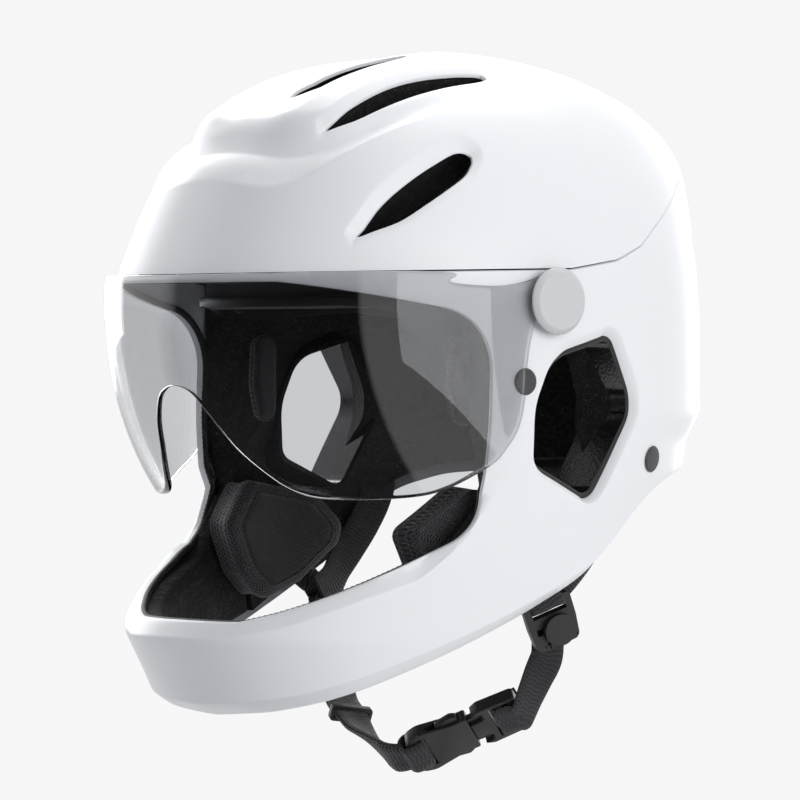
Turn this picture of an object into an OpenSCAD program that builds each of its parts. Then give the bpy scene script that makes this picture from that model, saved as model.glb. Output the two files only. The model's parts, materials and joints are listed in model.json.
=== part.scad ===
// Full-face bicycle helmet with a chin bar, a lifting clear visor and a buckled chin strap.
// Z is up, the helmet faces -Y, the wearer's left is +X. The origin is the middle of the head
// at the height of the ear openings. Lengths are millimetres, angles are degrees.

/* [Outer shell] */
// Half of the helmet's width at the ears
shell_half_w = 108; // [105:0.5:112]
// Height of the crown above the ear line
crown_top = 157; // [154:0.5:160]
// Reach of the brow in front of the head's centre
brow_reach = 131; // [129:0.5:134]
// Reach of the chin bar in front of the head's centre
chin_reach = 134; // [131:0.5:138]
// Reach of the back of the shell behind the head's centre
rear_reach = 126; // [124:0.5:130]
// Wall of both outer shells
shell_t = 2.6; // [2:0.1:3]
// Height of the seam between the shells at the front
seam_z = 61; // [60.5:0.5:63]
// Rise of the seam from the side to the back
seam_rise = 50; // [44:1:54]
// Open groove between the two shells
seam_gap = 0.6; // [0.4:0.1:1]
// Height of the ledge round the crown, at the front
ledge_z = 101; // [98:0.5:104]
// Depth of the valley inside the ledge
valley_depth = 5.5; // [3:0.5:6.5]
// Width of the flat strip on the ledge
ledge_w = 7.5; // [6:0.5:9]
// Depth of the middle channel over the crown
channel_depth = 7; // [5:0.5:8]
// Half of the width of the ledge line
ledge_half_w = 72; // [70:0.5:73]
// Height of the chamfer along the chin bar's edges
chamfer_h = 7; // [5:0.5:8]
// Depth of the chamfer along the chin bar's edges
chamfer_d = 4.5; // [3:0.5:5]

/* [Openings] */
// Upper edge of the eye port at the front
eye_top_z = 57.5; // [56:0.5:59]
// Rear edge of the eye port
eye_rear_y = -42; // [-44:0.5:-41]
// Width of the long crown vents
long_vent_w = 8.2; // [7:0.2:10]
// Width of the middle crown vent
mid_vent_w = 20; // [17:0.5:21]
// Sideways place of the long crown vents
long_vent_x = 53; // [52:0.5:54]
// Width of the side vents
side_vent_w = 11; // [9.5:0.5:12]

/* [Foam liner] */
// Half width of the head cavity
head_half_w = 77; // [75:0.5:79]
// Reach of the head cavity forwards and backwards
head_reach = 98; // [96:0.5:100]
// Height of the head cavity
head_top = 128; // [125:0.5:130]
// Thickness of the foam at the cheeks
cheek_foam_t = 9; // [8:0.5:11]
// Thickness of the foam in the chin bar
chin_foam_t = 13; // [10:0.5:15]
// Gap between the shells and the foam
liner_gap = 0.7; // [0.5:0.1:0.9]
// Clearance between pieces that lie on each other
seat_gap = 0.3; // [0.2:0.05:0.4]

/* [Pads] */
// Thickness of the cheek pads
cheek_pad_t = 20; // [17:0.5:22]
// Thickness of the brow pad
brow_pad_t = 9; // [7:0.5:11]
// Thickness of the side, crown and nape pads
thin_pad_t = 7; // [5:0.5:8]

/* [Visor] */
// Wall of the visor
visor_t = 2; // [1.8:0.1:2.4]
// Height of the visor's pivot
pivot_z = 48; // [47.5:0.5:49]
// Place of the visor's pivot along the helmet
pivot_y = -12; // [-13:0.5:-10.5]
// Gap between the shell and the visor at the brow
visor_gap = 0.8; // [0.6:0.1:1.5]
// Diameter of the knobs at the visor's pivots
knob_d = 28.2; // [26:0.2:30]
// Thickness of the knobs
knob_t = 3.4; // [3:0.1:4.5]
// Diameter of the bearing on which the visor turns
boss_d = 12; // [10:0.5:13]
// Diameter of the screw shank on each knob
screw_d = 5; // [4:0.1:6]
// Radial clearance of the turning fits
fit = 0.06; // [0.03:0.01:0.09]

/* [Straps] */
// Width of the webbing
strap_w = 15; // [13:0.5:16]
// Thickness of the webbing
strap_t = 1.4; // [1.1:0.1:1.7]
// Diameter of the strap anchor caps
anchor_d = 11.6; // [10:0.1:13]
// Diameter of the strap anchor shanks
anchor_shank_d = 5; // [4:0.1:6]
// Length of the closed buckle
buckle_len = 52; // [48:1:55]
// Width of the buckle's body
buckle_w = 24; // [22:0.5:26]
// Thickness of the buckle's body
buckle_t = 7; // [6:0.1:8]

/* [Fit dial] */
// Diameter of the dial
dial_d = 26; // [23:0.5:28]
// Height of the belts
belt_h = 11; // [10:0.5:12]
// Thickness of the belts
belt_t = 1.6; // [1.3:0.1:2]
// Pitch radius of the pinion that drives the belts
pinion_r = 4.5; // [4.3:0.1:4.8]
// Number of teeth on the pinion
pinion_teeth = 12; // [10:1:14]

/* [Hidden] */

white = [0.93, 0.94, 0.95];
white_lower = [0.90, 0.91, 0.93];
black = [0.08, 0.08, 0.09];
foam = [0.16, 0.16, 0.17];
fabric = [0.12, 0.12, 0.13];
webbing = [0.20, 0.20, 0.21];
clear = [0.70, 0.74, 0.78, 0.45];
grey = [0.80, 0.81, 0.82];

columns = 40;
widest_z = 55;
lower_taper = 24;
chin_depth = 132;
crown_front = 113;
front_arc_z = 88;
rear_arc_z = 100;
brow_z = 57;
chin_widest_z = -92;
front_power = 2.4;
rear_power = 2.15;
ledge_power = 3.6;
ledge_rear = 95;
dome_centre = [0, 0, 40];

// Reach of the chin bar's face against its own widest place, by height
chin_face = [[-134, -27], [-127, -22], [-122, -15], [-107, -8], [chin_widest_z, 0]];
// Reach of the back against the rear reach, by height: the nape turns in below the ear line
rear_face = [[-60, -36], [-36, -18], [-27, -9], [-13, -6.5], [-1, 3], [40, 3.5], [75, 0], [rear_arc_z, 0]];
// Heights of the main edges by angle round the head: -90 is the front, 0 the side, 90 the back
seam_line = [[-90, 0], [0, 0.01], [14, 0.08], [23, 0.2], [30, 0.36], [40, 0.55], [49, 0.73], [60, 0.86], [75, 0.96], [90, 1]];
bottom_line = [[-90, -125.5], [-72, -123], [-61, -119], [-52, -114], [-38, -104], [-8, -83], [5, -73],
    [13, -65.5], [18, -57.5], [25, -46], [33, -36.5], [45, -30], [60, -28], [90, -27]];
chin_top_line = [[-90, -84.5], [-76, -84.5], [-64, -79.5], [-49, -68], [-38, -60.5], [-32, -51.5],
    [-27, -43], [-24, -34], [-20, -26], [10, -18], [60, -8], [90, -4]];

// Corners of the eye port, seen from the side: Y, Z and the radius of the corner
eye_port = [[-220, eye_top_z, 0], [-118, eye_top_z, 25], [eye_rear_y + 1, eye_top_z - 16.2, 26],
    [eye_rear_y - 2.8, -47, 22], [-128, -84.3, 30], [-220, -85.5, 0]];
// Corners of the ear port, seen from the side
ear_port = [[-10.5, 25.5, 20], [24, 34.3, 7], [39.7, 3, 17], [14, -38, 8], [-20, -21.5, 9], [-20.7, 3, 30]];
ear_centre = [9, 0];

function between(a, b, t) = a + (b - a) * t;
function clamp(v, low, high) = min(high, max(low, v));
function unit(v) = v / norm(v);
function fold(a) = asin(sin(a));
function turn_z(p, a) = [p[0] * cos(a) - p[1] * sin(a), p[0] * sin(a) + p[1] * cos(a), p[2]];

// Outline with round corners; each corner is [u, v, radius]
function rounded(corners, steps = 4) = [for (i = [0:len(corners) - 1])
    let (n = len(corners), here = corners[i], p = [here[0], here[1]],
        before = corners[(i + n - 1) % n], after = corners[(i + 1) % n],
        u = unit([before[0], before[1]] - p), w = unit([after[0], after[1]] - p),
        half = acos(clamp(u * w, -1, 1)) / 2, middle = unit(u + w), r = here[2],
        centre = p + middle * (r / sin(half)), sweep = 90 - half,
        side = sign(u[0] * w[1] - u[1] * w[0]))
    each r == 0 || norm(u + w) < 0.05 ? [p] : [for (k = [0:steps]) let (a = side * between(sweep, -sweep, k / steps))
        centre - [middle[0] * cos(a) - middle[1] * sin(a), middle[0] * sin(a) + middle[1] * cos(a)] * r]];

// The outer skin
function half_w(z, d) = z < widest_z
    ? shell_half_w - d - lower_taper * pow(max(0, -z) / chin_depth, 1.3)
    : (shell_half_w - d) * sqrt(max(0, 1 - pow((z - widest_z) / (crown_top - d - widest_z), 2)));
function front_arc(z, d) = (crown_front - d) * sqrt(max(0, 1 - pow((z - front_arc_z) / (crown_top - d - front_arc_z), 2)));
function front_reach(z, d) = z > ledge_z ? front_arc(z, d)
    : z > brow_z ? between(brow_reach - d, front_arc(ledge_z, d), (z - brow_z) / (ledge_z - brow_z))
    : z > chin_widest_z ? between(chin_reach, brow_reach, (z - chin_widest_z) / (brow_z - chin_widest_z)) - d
    : chin_reach + lookup(z, chin_face) - d;
function back_reach(z, d) = z > rear_arc_z
    ? (rear_reach - d) * sqrt(max(0, 1 - pow((z - rear_arc_z) / (crown_top - d - rear_arc_z), 2)))
    : rear_reach + lookup(z, rear_face) - d;
function oval_r(a, w, l, n) = 1 / pow(pow(abs(cos(a)) / max(w, 0.01), n) + pow(abs(sin(a)) / max(l, 0.01), n), 1 / n);
function skin_r(z, a, d) = sin(a) < 0
    ? oval_r(a, half_w(z, d), front_reach(z, d), front_power)
    : oval_r(a, half_w(z, d), back_reach(z, d), rear_power);
function polar(r, a, z) = [r * cos(a), r * sin(a), z];
function skin(z, a, d = 0) = polar(skin_r(z, a, d), a, z);
// Half width of the skin at a height and a place along the helmet
function skin_x(y, z, d = 0) = half_w(z, d) * pow(max(0, 1 - pow(abs(y) / (y < 0 ? front_reach(z, d) : back_reach(z, d)),
    y < 0 ? front_power : rear_power)), 1 / (y < 0 ? front_power : rear_power));
// Height of the dome over a place in plan, by halving
function dome_z(r, a, d, low = 50, high = crown_top, tries = 16) = tries == 0 ? min((low + high) / 2, crown_top - d)
    : let (m = (low + high) / 2) skin_r(m, a, d) > r ? dome_z(r, a, d, m, high, tries - 1) : dome_z(r, a, d, low, m, tries - 1);
function ledge_r(a) = oval_r(a, ledge_half_w, sin(a) < 0 ? front_arc(ledge_z, 0) : ledge_rear, ledge_power);
// Cosine step from 1 to 0 between two places
function fall(u, from, to) = u < from ? 1 : u < to ? (1 + cos(180 * (u - from) / (to - from))) / 2 : 0;
function valley(r, a) = let (u = ledge_r(a) - r, y = r * sin(a))
    (u <= 0 ? 0 : valley_depth * (u < ledge_w ? u / ledge_w : fall(u, ledge_w, ledge_w + 16)) * clamp((5 - y) / 75, 0, 1))
    + channel_depth * fall(abs(r * cos(a)), 8, 32) * clamp((y + 96) / 20, 0, 1) * clamp((10 - y) / 60, 0, 1);
function dome(r, a, d) = let (rd = r * (1 - d / 110), p = polar(rd, a, dome_z(rd, a, d)), v = p - dome_centre)
    p - v * (valley(r, a) / norm(v));

function seam_at(a) = seam_z + seam_rise * lookup(fold(a), seam_line);
function bottom_at(a) = lookup(fold(a), bottom_line);
function chin_top_at(a) = lookup(fold(a), chin_top_line);

// Rows of the upper shell from the seam to the crown, at one angle
ledge_rows = [0, ledge_w, ledge_w + 7, 23];
crown_rows = [0.74, 0.5, 0.25];
function upper_rows(a, d) = let (low = seam_at(a) + seam_gap / 2, top = dome_z(ledge_r(a), a, 0), r = ledge_r(a)) [
    for (k = [0:3]) skin(between(low, top, sin(90 * k / 4)), a, d),
    for (u = ledge_rows) dome(r - u, a, d),
    for (s = crown_rows) dome((r - 23) * s, a, d)];

// Rows of the lower shell from its bottom edge to the seam, at one angle
function lower_rows(a, d) = let (b = bottom_at(a), c = chin_top_at(a), s = seam_at(a) - seam_gap / 2,
    front = sin(a) < -0.36 ? 1 : 0) [
    skin(b, a, d + chamfer_d), skin(b + 5, a, d), skin((b + 5 + c - chamfer_h) / 2, a, d),
    skin(c - chamfer_h, a, d), skin(c, a, d + chamfer_d * front), skin(c + 8, a, d),
    skin(20, a, d), skin(40, a, d), skin(brow_z, a, d),
    skin(between(brow_z, s, 0.34), a, d), skin(between(brow_z, s, 0.68), a, d), skin(s, a, d)];

// The head cavity
cavity_power = 2.2;
cavity_widest_z = 55;
function cavity_low_w(z) = z > -5 ? head_half_w
    : between(head_half_w, half_w(z, shell_t + seat_gap + cheek_foam_t), clamp((-5 - z) / 25, 0, 1));
function cavity_dome(z) = sqrt(max(0, 1 - pow(max(0, z - cavity_widest_z) / (head_top - cavity_widest_z), 2)));
function cavity_w(z) = z < cavity_widest_z ? cavity_low_w(z) : head_half_w * cavity_dome(z);
function cavity_l(z) = head_reach * cavity_dome(z);
function cavity_r(z, a, d = 0) = oval_r(a, cavity_w(z) - d, cavity_l(z) - d, cavity_power);
function cavity(z, a, d = 0) = polar(cavity_r(z, a, d), a, z);
function cavity_x(y, z) = cavity_w(z) * pow(max(0, 1 - pow(abs(y) / cavity_l(z), cavity_power)), 1 / cavity_power);
function cavity_y(x, z) = cavity_l(z) * pow(max(0, 1 - pow(abs(x) / cavity_w(z), cavity_power)), 1 / cavity_power);
function cavity_z(x, y) = let (q = pow(pow(abs(x) / head_half_w, cavity_power) + pow(abs(y) / head_reach, cavity_power), 1 / cavity_power))
    cavity_widest_z + (head_top - cavity_widest_z) * sqrt(max(0, 1 - q * q));

// Triangles of a strip between two rings of m points that start at a and b
function strip(a, b, m, loop) = [for (j = [0:m - (loop ? 1 : 2)]) let (k = (j + 1) % m)
    each [[a + j, b + j, b + k], [a + j, b + k, a + k]]];

// Sum of a ring's points, and the way its outline turns
function middle(ring) = [for (k = [0:2]) let (v = [for (p = ring) p[k]]) v * [for (p = ring) 1] / len(ring)];
function turning(ring) = let (m = len(ring), c = middle(ring), f = [for (j = [0:m - 1]) cross(ring[j] - c, ring[(j + 1) % m] - c)])
    [for (k = [0:2]) [for (q = f) q[k]] * [for (q = f) 1]];

// Closed tube through n rings of m points each; a loop joins the last ring to the first
module tube(rings, loop = false) {
    n = len(rings);
    m = len(rings[0]);
    ahead = turning(rings[0]) * (middle(rings[1]) - middle(rings[0])) > 0;
    polyhedron([for (r = rings, j = [0:m - 1]) r[ahead ? j : m - 1 - j]], concat(
        [for (i = [0:n - (loop ? 1 : 2)]) each strip(i * m, ((i + 1) % n) * m, m, true)],
        loop ? [] : [[for (j = [0:m - 1]) j], [for (j = [m - 1:-1:0]) (n - 1) * m + j]]));
}

// Bowl with a wall: outer and inner rows by column, each closed at the crown by one point
module bowl(outer, inner, outer_tip, inner_tip) {
    n = len(outer);
    a = len(outer[0]);
    b = len(inner[0]);
    m = a + b;
    tips = n * m;
    polyhedron(concat([for (i = [0:n - 1]) each concat(outer[i], [for (j = [b - 1:-1:0]) inner[i][j]])], [outer_tip, inner_tip]), concat(
        [for (i = [0:n - 1], j = [0:m - 1]) let (k = (j + 1) % m, c = ((i + 1) % n) * m)
            if (j != a - 1) each [[i * m + j, c + k, c + j], [i * m + j, i * m + k, c + k]]],
        [for (i = [0:n - 1]) let (c = ((i + 1) % n) * m) each [
            [i * m + a - 1, tips, c + a - 1], [i * m + a, c + a, tips + 1]]]));
}

// Plate through the helmet from side to side, from an outline in Y and Z
module across(outline, from_x = -200, to_x = 200) {
    translate([from_x, 0, 0]) rotate([90, 0, 90]) linear_extrude(to_x - from_x) polygon(outline);
}

// Post through the crown from an outline in X and Y
module down(outline, from_z = 84, to_z = 180) {
    translate([0, 0, from_z]) linear_extrude(to_z - from_z) polygon(outline);
}

module both_sides() {
    children();
    mirror([1, 0, 0]) children();
}

// Crown vents, seen from above: slender leaves with their tips to the front
vent_front_y = -85;
vent_rear_y = 1;
mid_vent_front_y = -70;
mid_vent_rear_y = -4;
function away_from(c, outline, grow) = grow == 0 ? outline : [for (p = outline) p + unit(p - c) * grow];
function mid_vent(w) = let (half = [[w * 0.3, mid_vent_front_y + 8], [w * 0.46, mid_vent_front_y + 20], [w * 0.5, mid_vent_front_y + 34],
    [w * 0.46, mid_vent_rear_y - 14], [w * 0.3, mid_vent_rear_y - 4]])
    concat([[0, mid_vent_front_y]], half, [[0, mid_vent_rear_y]], [for (k = [len(half) - 1:-1:0]) [-half[k][0], half[k][1]]]);
function long_vent(x, w) = [[x - 6.8, vent_front_y + 1.4], [x - 6.3, vent_front_y], [x - 5.2, vent_front_y + 0.6], [x + w * 0.08, -73], [x + w * 0.42, -58],
    [x + w * 0.5, -41], [x + w * 0.42, -23.5], [x + w * 0.24, -7], [x - 1, vent_rear_y - 1], [x - 3.5, vent_rear_y], [x - 5.2, vent_rear_y - 2],
    [x - w * 0.5, -24], [x - w * 0.45, -46], [x - w * 0.38, -66], [x - w * 0.52, -77]];
module crown_vents(grow = 0) {
    down(away_from([0, (mid_vent_front_y + mid_vent_rear_y) / 2], mid_vent(mid_vent_w + 1.4 * grow), grow / 2));
    both_sides() down(away_from([long_vent_x, -41], long_vent(long_vent_x, long_vent_w + 1.4 * grow), grow / 2));
}
// Side vents, seen from the side: a leaf that climbs to the rear
side_vent_front = [-91, 77];
side_vent_rear = [-38, 111];
side_leaf = [[-1.5, -0.02], [3.2, 0.12], [9, 0.3], [16, 0.47], [33, 0.62], [49, 0.42], [59, 0.26], [62, 0.14], [63.4, 0], [63, -0.16], [59, -0.34],
    [50, -0.45], [32, -0.38], [15.5, -0.33], [3, -0.12]];
function side_vent(grow) = let (run = side_vent_rear - side_vent_front, u = unit(run), v = [-u[1], u[0]], w = side_vent_w + 2 * grow)
    away_from(side_vent_front + run / 2, [for (c = side_leaf) side_vent_front + u * c[0] + v * (c[1] * w)], grow / 2);
module side_vents(grow = 0) {
    across(side_vent(grow));
}
// Exhaust slots at the back, seen from behind
exhaust = rounded([[40, 62, 3], [72, 70, 3], [71, 77, 3], [40, 70, 3]], 3);
module exhaust_slots(grow = 0) {
    both_sides() translate([0, 60, 0]) rotate([90, 0, 180]) mirror([1, 0, 0]) linear_extrude(90)
        polygon([for (p = exhaust) p + unit(p - [56, 70]) * grow]);
}

module upper_shell() {
    color(white) difference() {
        bowl([for (i = [0:columns - 1]) upper_rows(i * 360 / columns, 0)],
            [for (i = [0:columns - 1]) upper_rows(i * 360 / columns, shell_t)],
            [0, 0, crown_top], [0, 0, crown_top - shell_t]);
        crown_vents();
        side_vents();
    }
}

module shell_band(from_row, to_row, outer_d, inner_d) {
    n = columns;
    tube([for (i = [0:n - 1]) let (a = i * 360 / n, o = lower_rows(a, outer_d), q = lower_rows(a, inner_d))
        concat([for (k = [from_row:to_row]) o[k]], [for (k = [to_row:-1:from_row]) q[k]])], true);
}

module lower_shell() {
    color(white_lower) difference() {
        shell_band(0, 11, 0, shell_t);
        across(rounded(eye_port));
        across(rounded(ear_port));
        exhaust_slots();
        both_sides() {
            translate([shell_half_w - 20, pivot_y, pivot_z]) rotate([0, 90, 0]) cylinder(d = boss_d, h = 40, $fn = 48);
            anchor_holes();
        }
    }
}

module crown_liner() {
    d = shell_t + liner_gap + 1.1;
    n = columns;
    color(foam) difference() {
        bowl([for (i = [0:n - 1]) upper_rows(i * 360 / n, d)],
            [for (i = [0:n - 1]) let (a = i * 360 / n, low = seam_at(a) + seam_gap / 2)
                [for (k = [0:6]) cavity(between(low, head_top, sin(90 * k / 7)), a)]],
            [0, 0, crown_top - d], [0, 0, head_top]);
        crown_vents(2);
        side_vents(1.5);
    }
}

// Foam of the sides and the back; the front ends at the pillars beside the eye port
column_step = 360 / columns;
// The pillars stand just behind the rear edge of the eye port, whatever the width of the shell
pillar_a = -atan2(0.45 - eye_rear_y, skin_x(eye_rear_y, 10));
lower_angles = concat([pillar_a], [for (k = [-2:22]) k * column_step], [180 - pillar_a]);
function rising(z, low, k) = max(z, low + k);
module lower_liner() {
    color(foam) difference() {
        tube([for (a = lower_angles) let (d = shell_t + liner_gap + (abs(fold(a) - pillar_a) < 0.1 ? 1.3 : 0), o = lower_rows(a, d), low = bottom_at(a) + 5, top = seam_at(a) - seam_gap / 2,
            inner = [low, rising(-30, low, 1), rising(-5, low, 2), 25, 50, top])
            concat([for (k = [1:11]) o[k]], [for (k = [5:-1:0]) cavity(inner[k], a)])]);
        across([for (p = rounded(ear_port)) let (q = [p[0], p[1]] - ear_centre) ear_centre + q * (1 + seat_gap / norm(q))]);
        exhaust_slots(1);
        both_sides() {
            strap_channel(front_strap_path(), 6);
            strap_channel(rear_strap_path(), 4, 2.5);
            anchor_holes(1);
            translate([head_half_w + 4, pivot_y, pivot_z]) rotate([0, 90, 0]) cylinder(d = boss_d + 9, h = 40, $fn = 48);
        }
    }
}

chin_end = pillar_a - 2;
chin_angles = concat([-180 - chin_end], [for (k = [-19:-2]) if (fold(k * column_step) < chin_end - 0.8) k * column_step], [chin_end]);
module chin_liner() {
    lip = chamfer_d * (chamfer_h - 2) / chamfer_h;
    color(foam) tube([for (a = chin_angles) let (b = bottom_at(a) + 5, c = chin_top_at(a), end = abs(fold(a)) < 40 ? 1 : 0,
        d = shell_t + liner_gap + (fold(a) > chin_end - 2 ? 1.4 : 0.4), t = d + chin_foam_t - 1.4 * end) [
        skin(b, a, d), skin((b + c - chamfer_h) / 2, a, d), skin(c - chamfer_h, a, d), skin(c - 2, a, d + lip),
        skin(c - 2, a, t - 2), skin(c - chamfer_h, a, t), skin((b + c - chamfer_h) / 2, a, t), skin(b + 1, a, t - 3)]]);
}

// Round-sided rubber edging behind the rim of the eye port
trim_r = 1.1;
module eye_port_trim() {
    d = shell_t + trim_r + 1.1;
    outline = rounded(eye_port);
    function tucked(p) = d + chamfer_d * clamp((-24 - p[1]) / 8, 0, 1);
    // The front stretches follow the angle round the head, the rear edge follows the outline
    rear = [for (p = outline) if (p[0] > -100) p];
    brow_angles = [for (k = [0:12]) between(-131, -49, k / 12)];
    lower_edge = [for (k = [0:12]) between(-52, -128, k / 12)];
    path = concat([for (a = brow_angles) skin(eye_top_z, a, d)],
        [for (p = rear) [skin_x(p[0], p[1], tucked(p)), p[0], p[1]]],
        [for (a = lower_edge) skin(chin_top_at(a), a, d + chamfer_d)],
        [for (k = [len(rear) - 1:-1:0]) let (p = rear[k]) [-skin_x(p[0], p[1], tucked(p)), p[0], p[1]]]);
    n = len(path);
    color(black) tube([for (i = [0:n - 1]) let (t = unit(path[(i + 1) % n] - path[(i + n - 1) % n]),
        out = unit([path[i][0], path[i][1], 0]), side = unit(cross(t, out)), up = cross(side, t))
        [for (k = [0:5]) path[i] + (side * cos(60 * k) + up * sin(60 * k)) * trim_r]], true);
}

// Glossy ring through the foam at each ear
ear_ring_in_x = 74;
ear_ring_out_x = 100.5;
ear_ring_t = 2.4;
module ear_ring() {
    outer = rounded(ear_port);
    color(black) difference() {
        across([for (p = outer) let (q = p - ear_centre) ear_centre + q * (1 - seat_gap / norm(q))], ear_ring_in_x, ear_ring_out_x);
        across([for (p = outer) let (q = p - ear_centre) ear_centre + q * (1 - (ear_ring_t + seat_gap) / norm(q))], ear_ring_in_x - 1, ear_ring_out_x + 1);
    }
}
module ear_ring_left() { ear_ring(); }
module ear_ring_right() { mirror([1, 0, 0]) ear_ring(); }

// Cushion rings: share of the outline's size and share of the thickness, from its back to its crown
cushion_rings = [[0.95, 0], [0.9, 0.3], [0.99, 0.62], [0.95, 0.86], [0.8, 0.98], [0.45, 1.05]];
function middle_of(outline) = [for (k = [0, 1]) let (v = [for (p = outline) p[k]]) (min(v) + max(v)) / 2];
function cushion_points(outline, t) = let (c = middle_of(outline)) [for (ring = cushion_rings)
    [for (p = outline) let (q = c + (p - c) * ring[0]) [q[0], q[1], ring[1] * t]]];
// Closed cushion; rings are its points already placed on what carries it
module cushion(rings, tip, root) {
    n = len(rings);
    m = len(rings[0]);
    ahead = turning(rings[0]) * (tip - root) > 0;
    polyhedron(concat([for (r = rings, j = [0:m - 1]) r[ahead ? j : m - 1 - j]], [tip, root]), concat(
        [for (i = [0:n - 2]) each strip(i * m, (i + 1) * m, m, true)],
        [for (j = [0:m - 1]) [j, (j + 1) % m, n * m + 1]],
        [for (j = [0:m - 1]) [(n - 1) * m + j, n * m, (n - 1) * m + (j + 1) % m]]));
}
module side_cushion(outline, t, lift = liner_gap) {
    c = middle_of(outline);
    cushion([for (ring = cushion_points(outline, t)) [for (p = ring) [cavity_x(p[0], p[1]) - lift - p[2], p[0], p[1]]]],
        [cavity_x(c[0], c[1]) - lift - t * 1.07, c[0], c[1]], [cavity_x(c[0], c[1]) - lift - 1.5, c[0], c[1]]);
}

cheek_outline = rounded([[-61, -48, 6], [-40, -28.5, 7], [2, -36, 9], [15, -50, 6], [11, -59, 7], [-14, -75.5, 12], [-39, -83, 9], [-52, -70, 9]], 2);
module cheek_pad() { color(fabric) side_cushion(cheek_outline, cheek_pad_t); }
module cheek_pad_left() { cheek_pad(); }
module cheek_pad_right() { mirror([1, 0, 0]) cheek_pad(); }

// Outline with more points along its long edges, so that a cushion can follow a bent seat
function finer(outline, step) = [for (i = [0:len(outline) - 1]) let (p = outline[i], q = outline[(i + 1) % len(outline)],
    k = ceil(norm(q - p) / step)) for (j = [0:k - 1]) between(p, q, j / k)];
side_outline = finer(rounded([[-36, 36, 6], [-23.5, 33, 5], [-24.5, -4.5, 5], [-34, -4.5, 5], [-38, 12, 10]], 3), 9);
module side_pad() { color(fabric) side_cushion(side_outline, thin_pad_t); }
module side_pad_left() { side_pad(); }
module side_pad_right() { mirror([1, 0, 0]) side_pad(); }

// Brow pad: a long cushion in sewn fields along the forehead
brow_pad_low = 46;
brow_pad_h = 24;
brow_fields = 6;
module brow_pad() {
    steps = 24;
    lift = belt_t + 3 * seat_gap;
    color(fabric) tube([for (i = [0:steps]) let (a = between(-139, -41, i / steps), s = i / steps,
        swell = 0.62 + 0.38 * abs(sin(180 * brow_fields * s)), full = brow_pad_t * swell * pow(sin(clamp(180 * s, 5, 175)), 0.3),
        h = brow_pad_h * (0.86 + 0.14 * sin(180 * s)), z0 = brow_pad_low)
        [for (q = [[0.04, 0], [0, 0.35], [0.06, 0.75], [0.3, 1], [0.7, 1], [0.94, 0.7], [1, 0.3], [0.96, 0]])
            let (z = z0 + h * q[0]) cavity(z, a, lift + full * q[1])]]);
}

crown_outline = rounded([[-24, -50, 12], [24, -50, 12], [32, 0, 20], [22, 48, 12], [-22, 48, 12], [-32, 0, 20]], 3);
module crown_pad() {
    color(fabric) cushion([for (ring = cushion_points(crown_outline, thin_pad_t)) [for (p = ring) [p[0], p[1], cavity_z(p[0], p[1]) - 0.8 - p[2]]]],
        [0, 0, head_top - 0.8 - thin_pad_t * 1.07], [0, 0, head_top - 1]);
}

// Visor: a tapered shield that follows the brow and stands off it
visor_side_x = shell_half_w + 1.6;
visor_power = 2.5;
visor_top_z = 61;
// The visor's front is an arc about its pivot, so that it clears the brow as it swings up
visor_arc_r = norm([brow_reach + pivot_y, brow_z - pivot_z]) + visor_gap + visor_t;
function visor_w(z, d) = visor_side_x + visor_t - d;
function visor_l(z, d) = -pivot_y + sqrt(pow(visor_arc_r - d, 2) - pow(z - pivot_z, 2));
function visor_skin(z, a, d) = polar(oval_r(a, visor_w(z, d), visor_l(z, d), visor_power), a, z);
// Upper and lower edge of the visor by angle from the front: 0 is the nose, 90 the side
visor_top_edge = [[0, 61], [56, 61], [59, 56.5], [69, 54.6], [76, 56.2], [80.6, 60], [88, 60]];
visor_low_edge = [[0, 14.2], [2.8, 13], [5.5, 9.4], [9, -0.3], [13, -12.7], [19, -24], [24, -30.2], [31, -33.4], [44, -33.6], [53, -32.2], [58, -29.5],
    [62, -26], [68, -19.5], [70.4, -15], [73.8, -6], [75.6, 6], [76.4, 22], [78.6, 32], [81.5, 34.5], [88, 36]];
visor_angles = [0, 2, 4, 6, 8, 10, 13, 16, 19, 22, 25, 28, 32, 36, 40, 44, 48, 52, 56, 59, 62, 65, 68, 70.4, 72, 73.8, 75, 75.6, 76.4, 78.6, 81.5, 85, 88];
hub_d = 23;
hub_in_x = visor_side_x - 0.25;
hub_t = visor_t + 0.5;
module visor() {
    angles = concat([for (k = [len(visor_angles) - 1:-1:1]) -visor_angles[k]], visor_angles);
    color(clear) difference() {
        union() {
            tube([for (f = angles) let (a = f - 90, top = lookup(abs(f), visor_top_edge), low = lookup(abs(f), visor_low_edge))
                concat([for (k = [0:6]) visor_skin(between(low, top, k / 6), a, 0)], [for (k = [6:-1:0]) visor_skin(between(low, top, k / 6), a, visor_t)])]);
            both_sides() translate([hub_in_x, pivot_y, pivot_z]) rotate([0, 90, 0]) cylinder(d = hub_d, h = hub_t, $fn = 64);
        }
        both_sides() translate([hub_in_x - 8, pivot_y, pivot_z]) rotate([0, 90, 0]) cylinder(d = boss_d - 2 + 2 * fit, h = 20, $fn = 64);
    }
}

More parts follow.
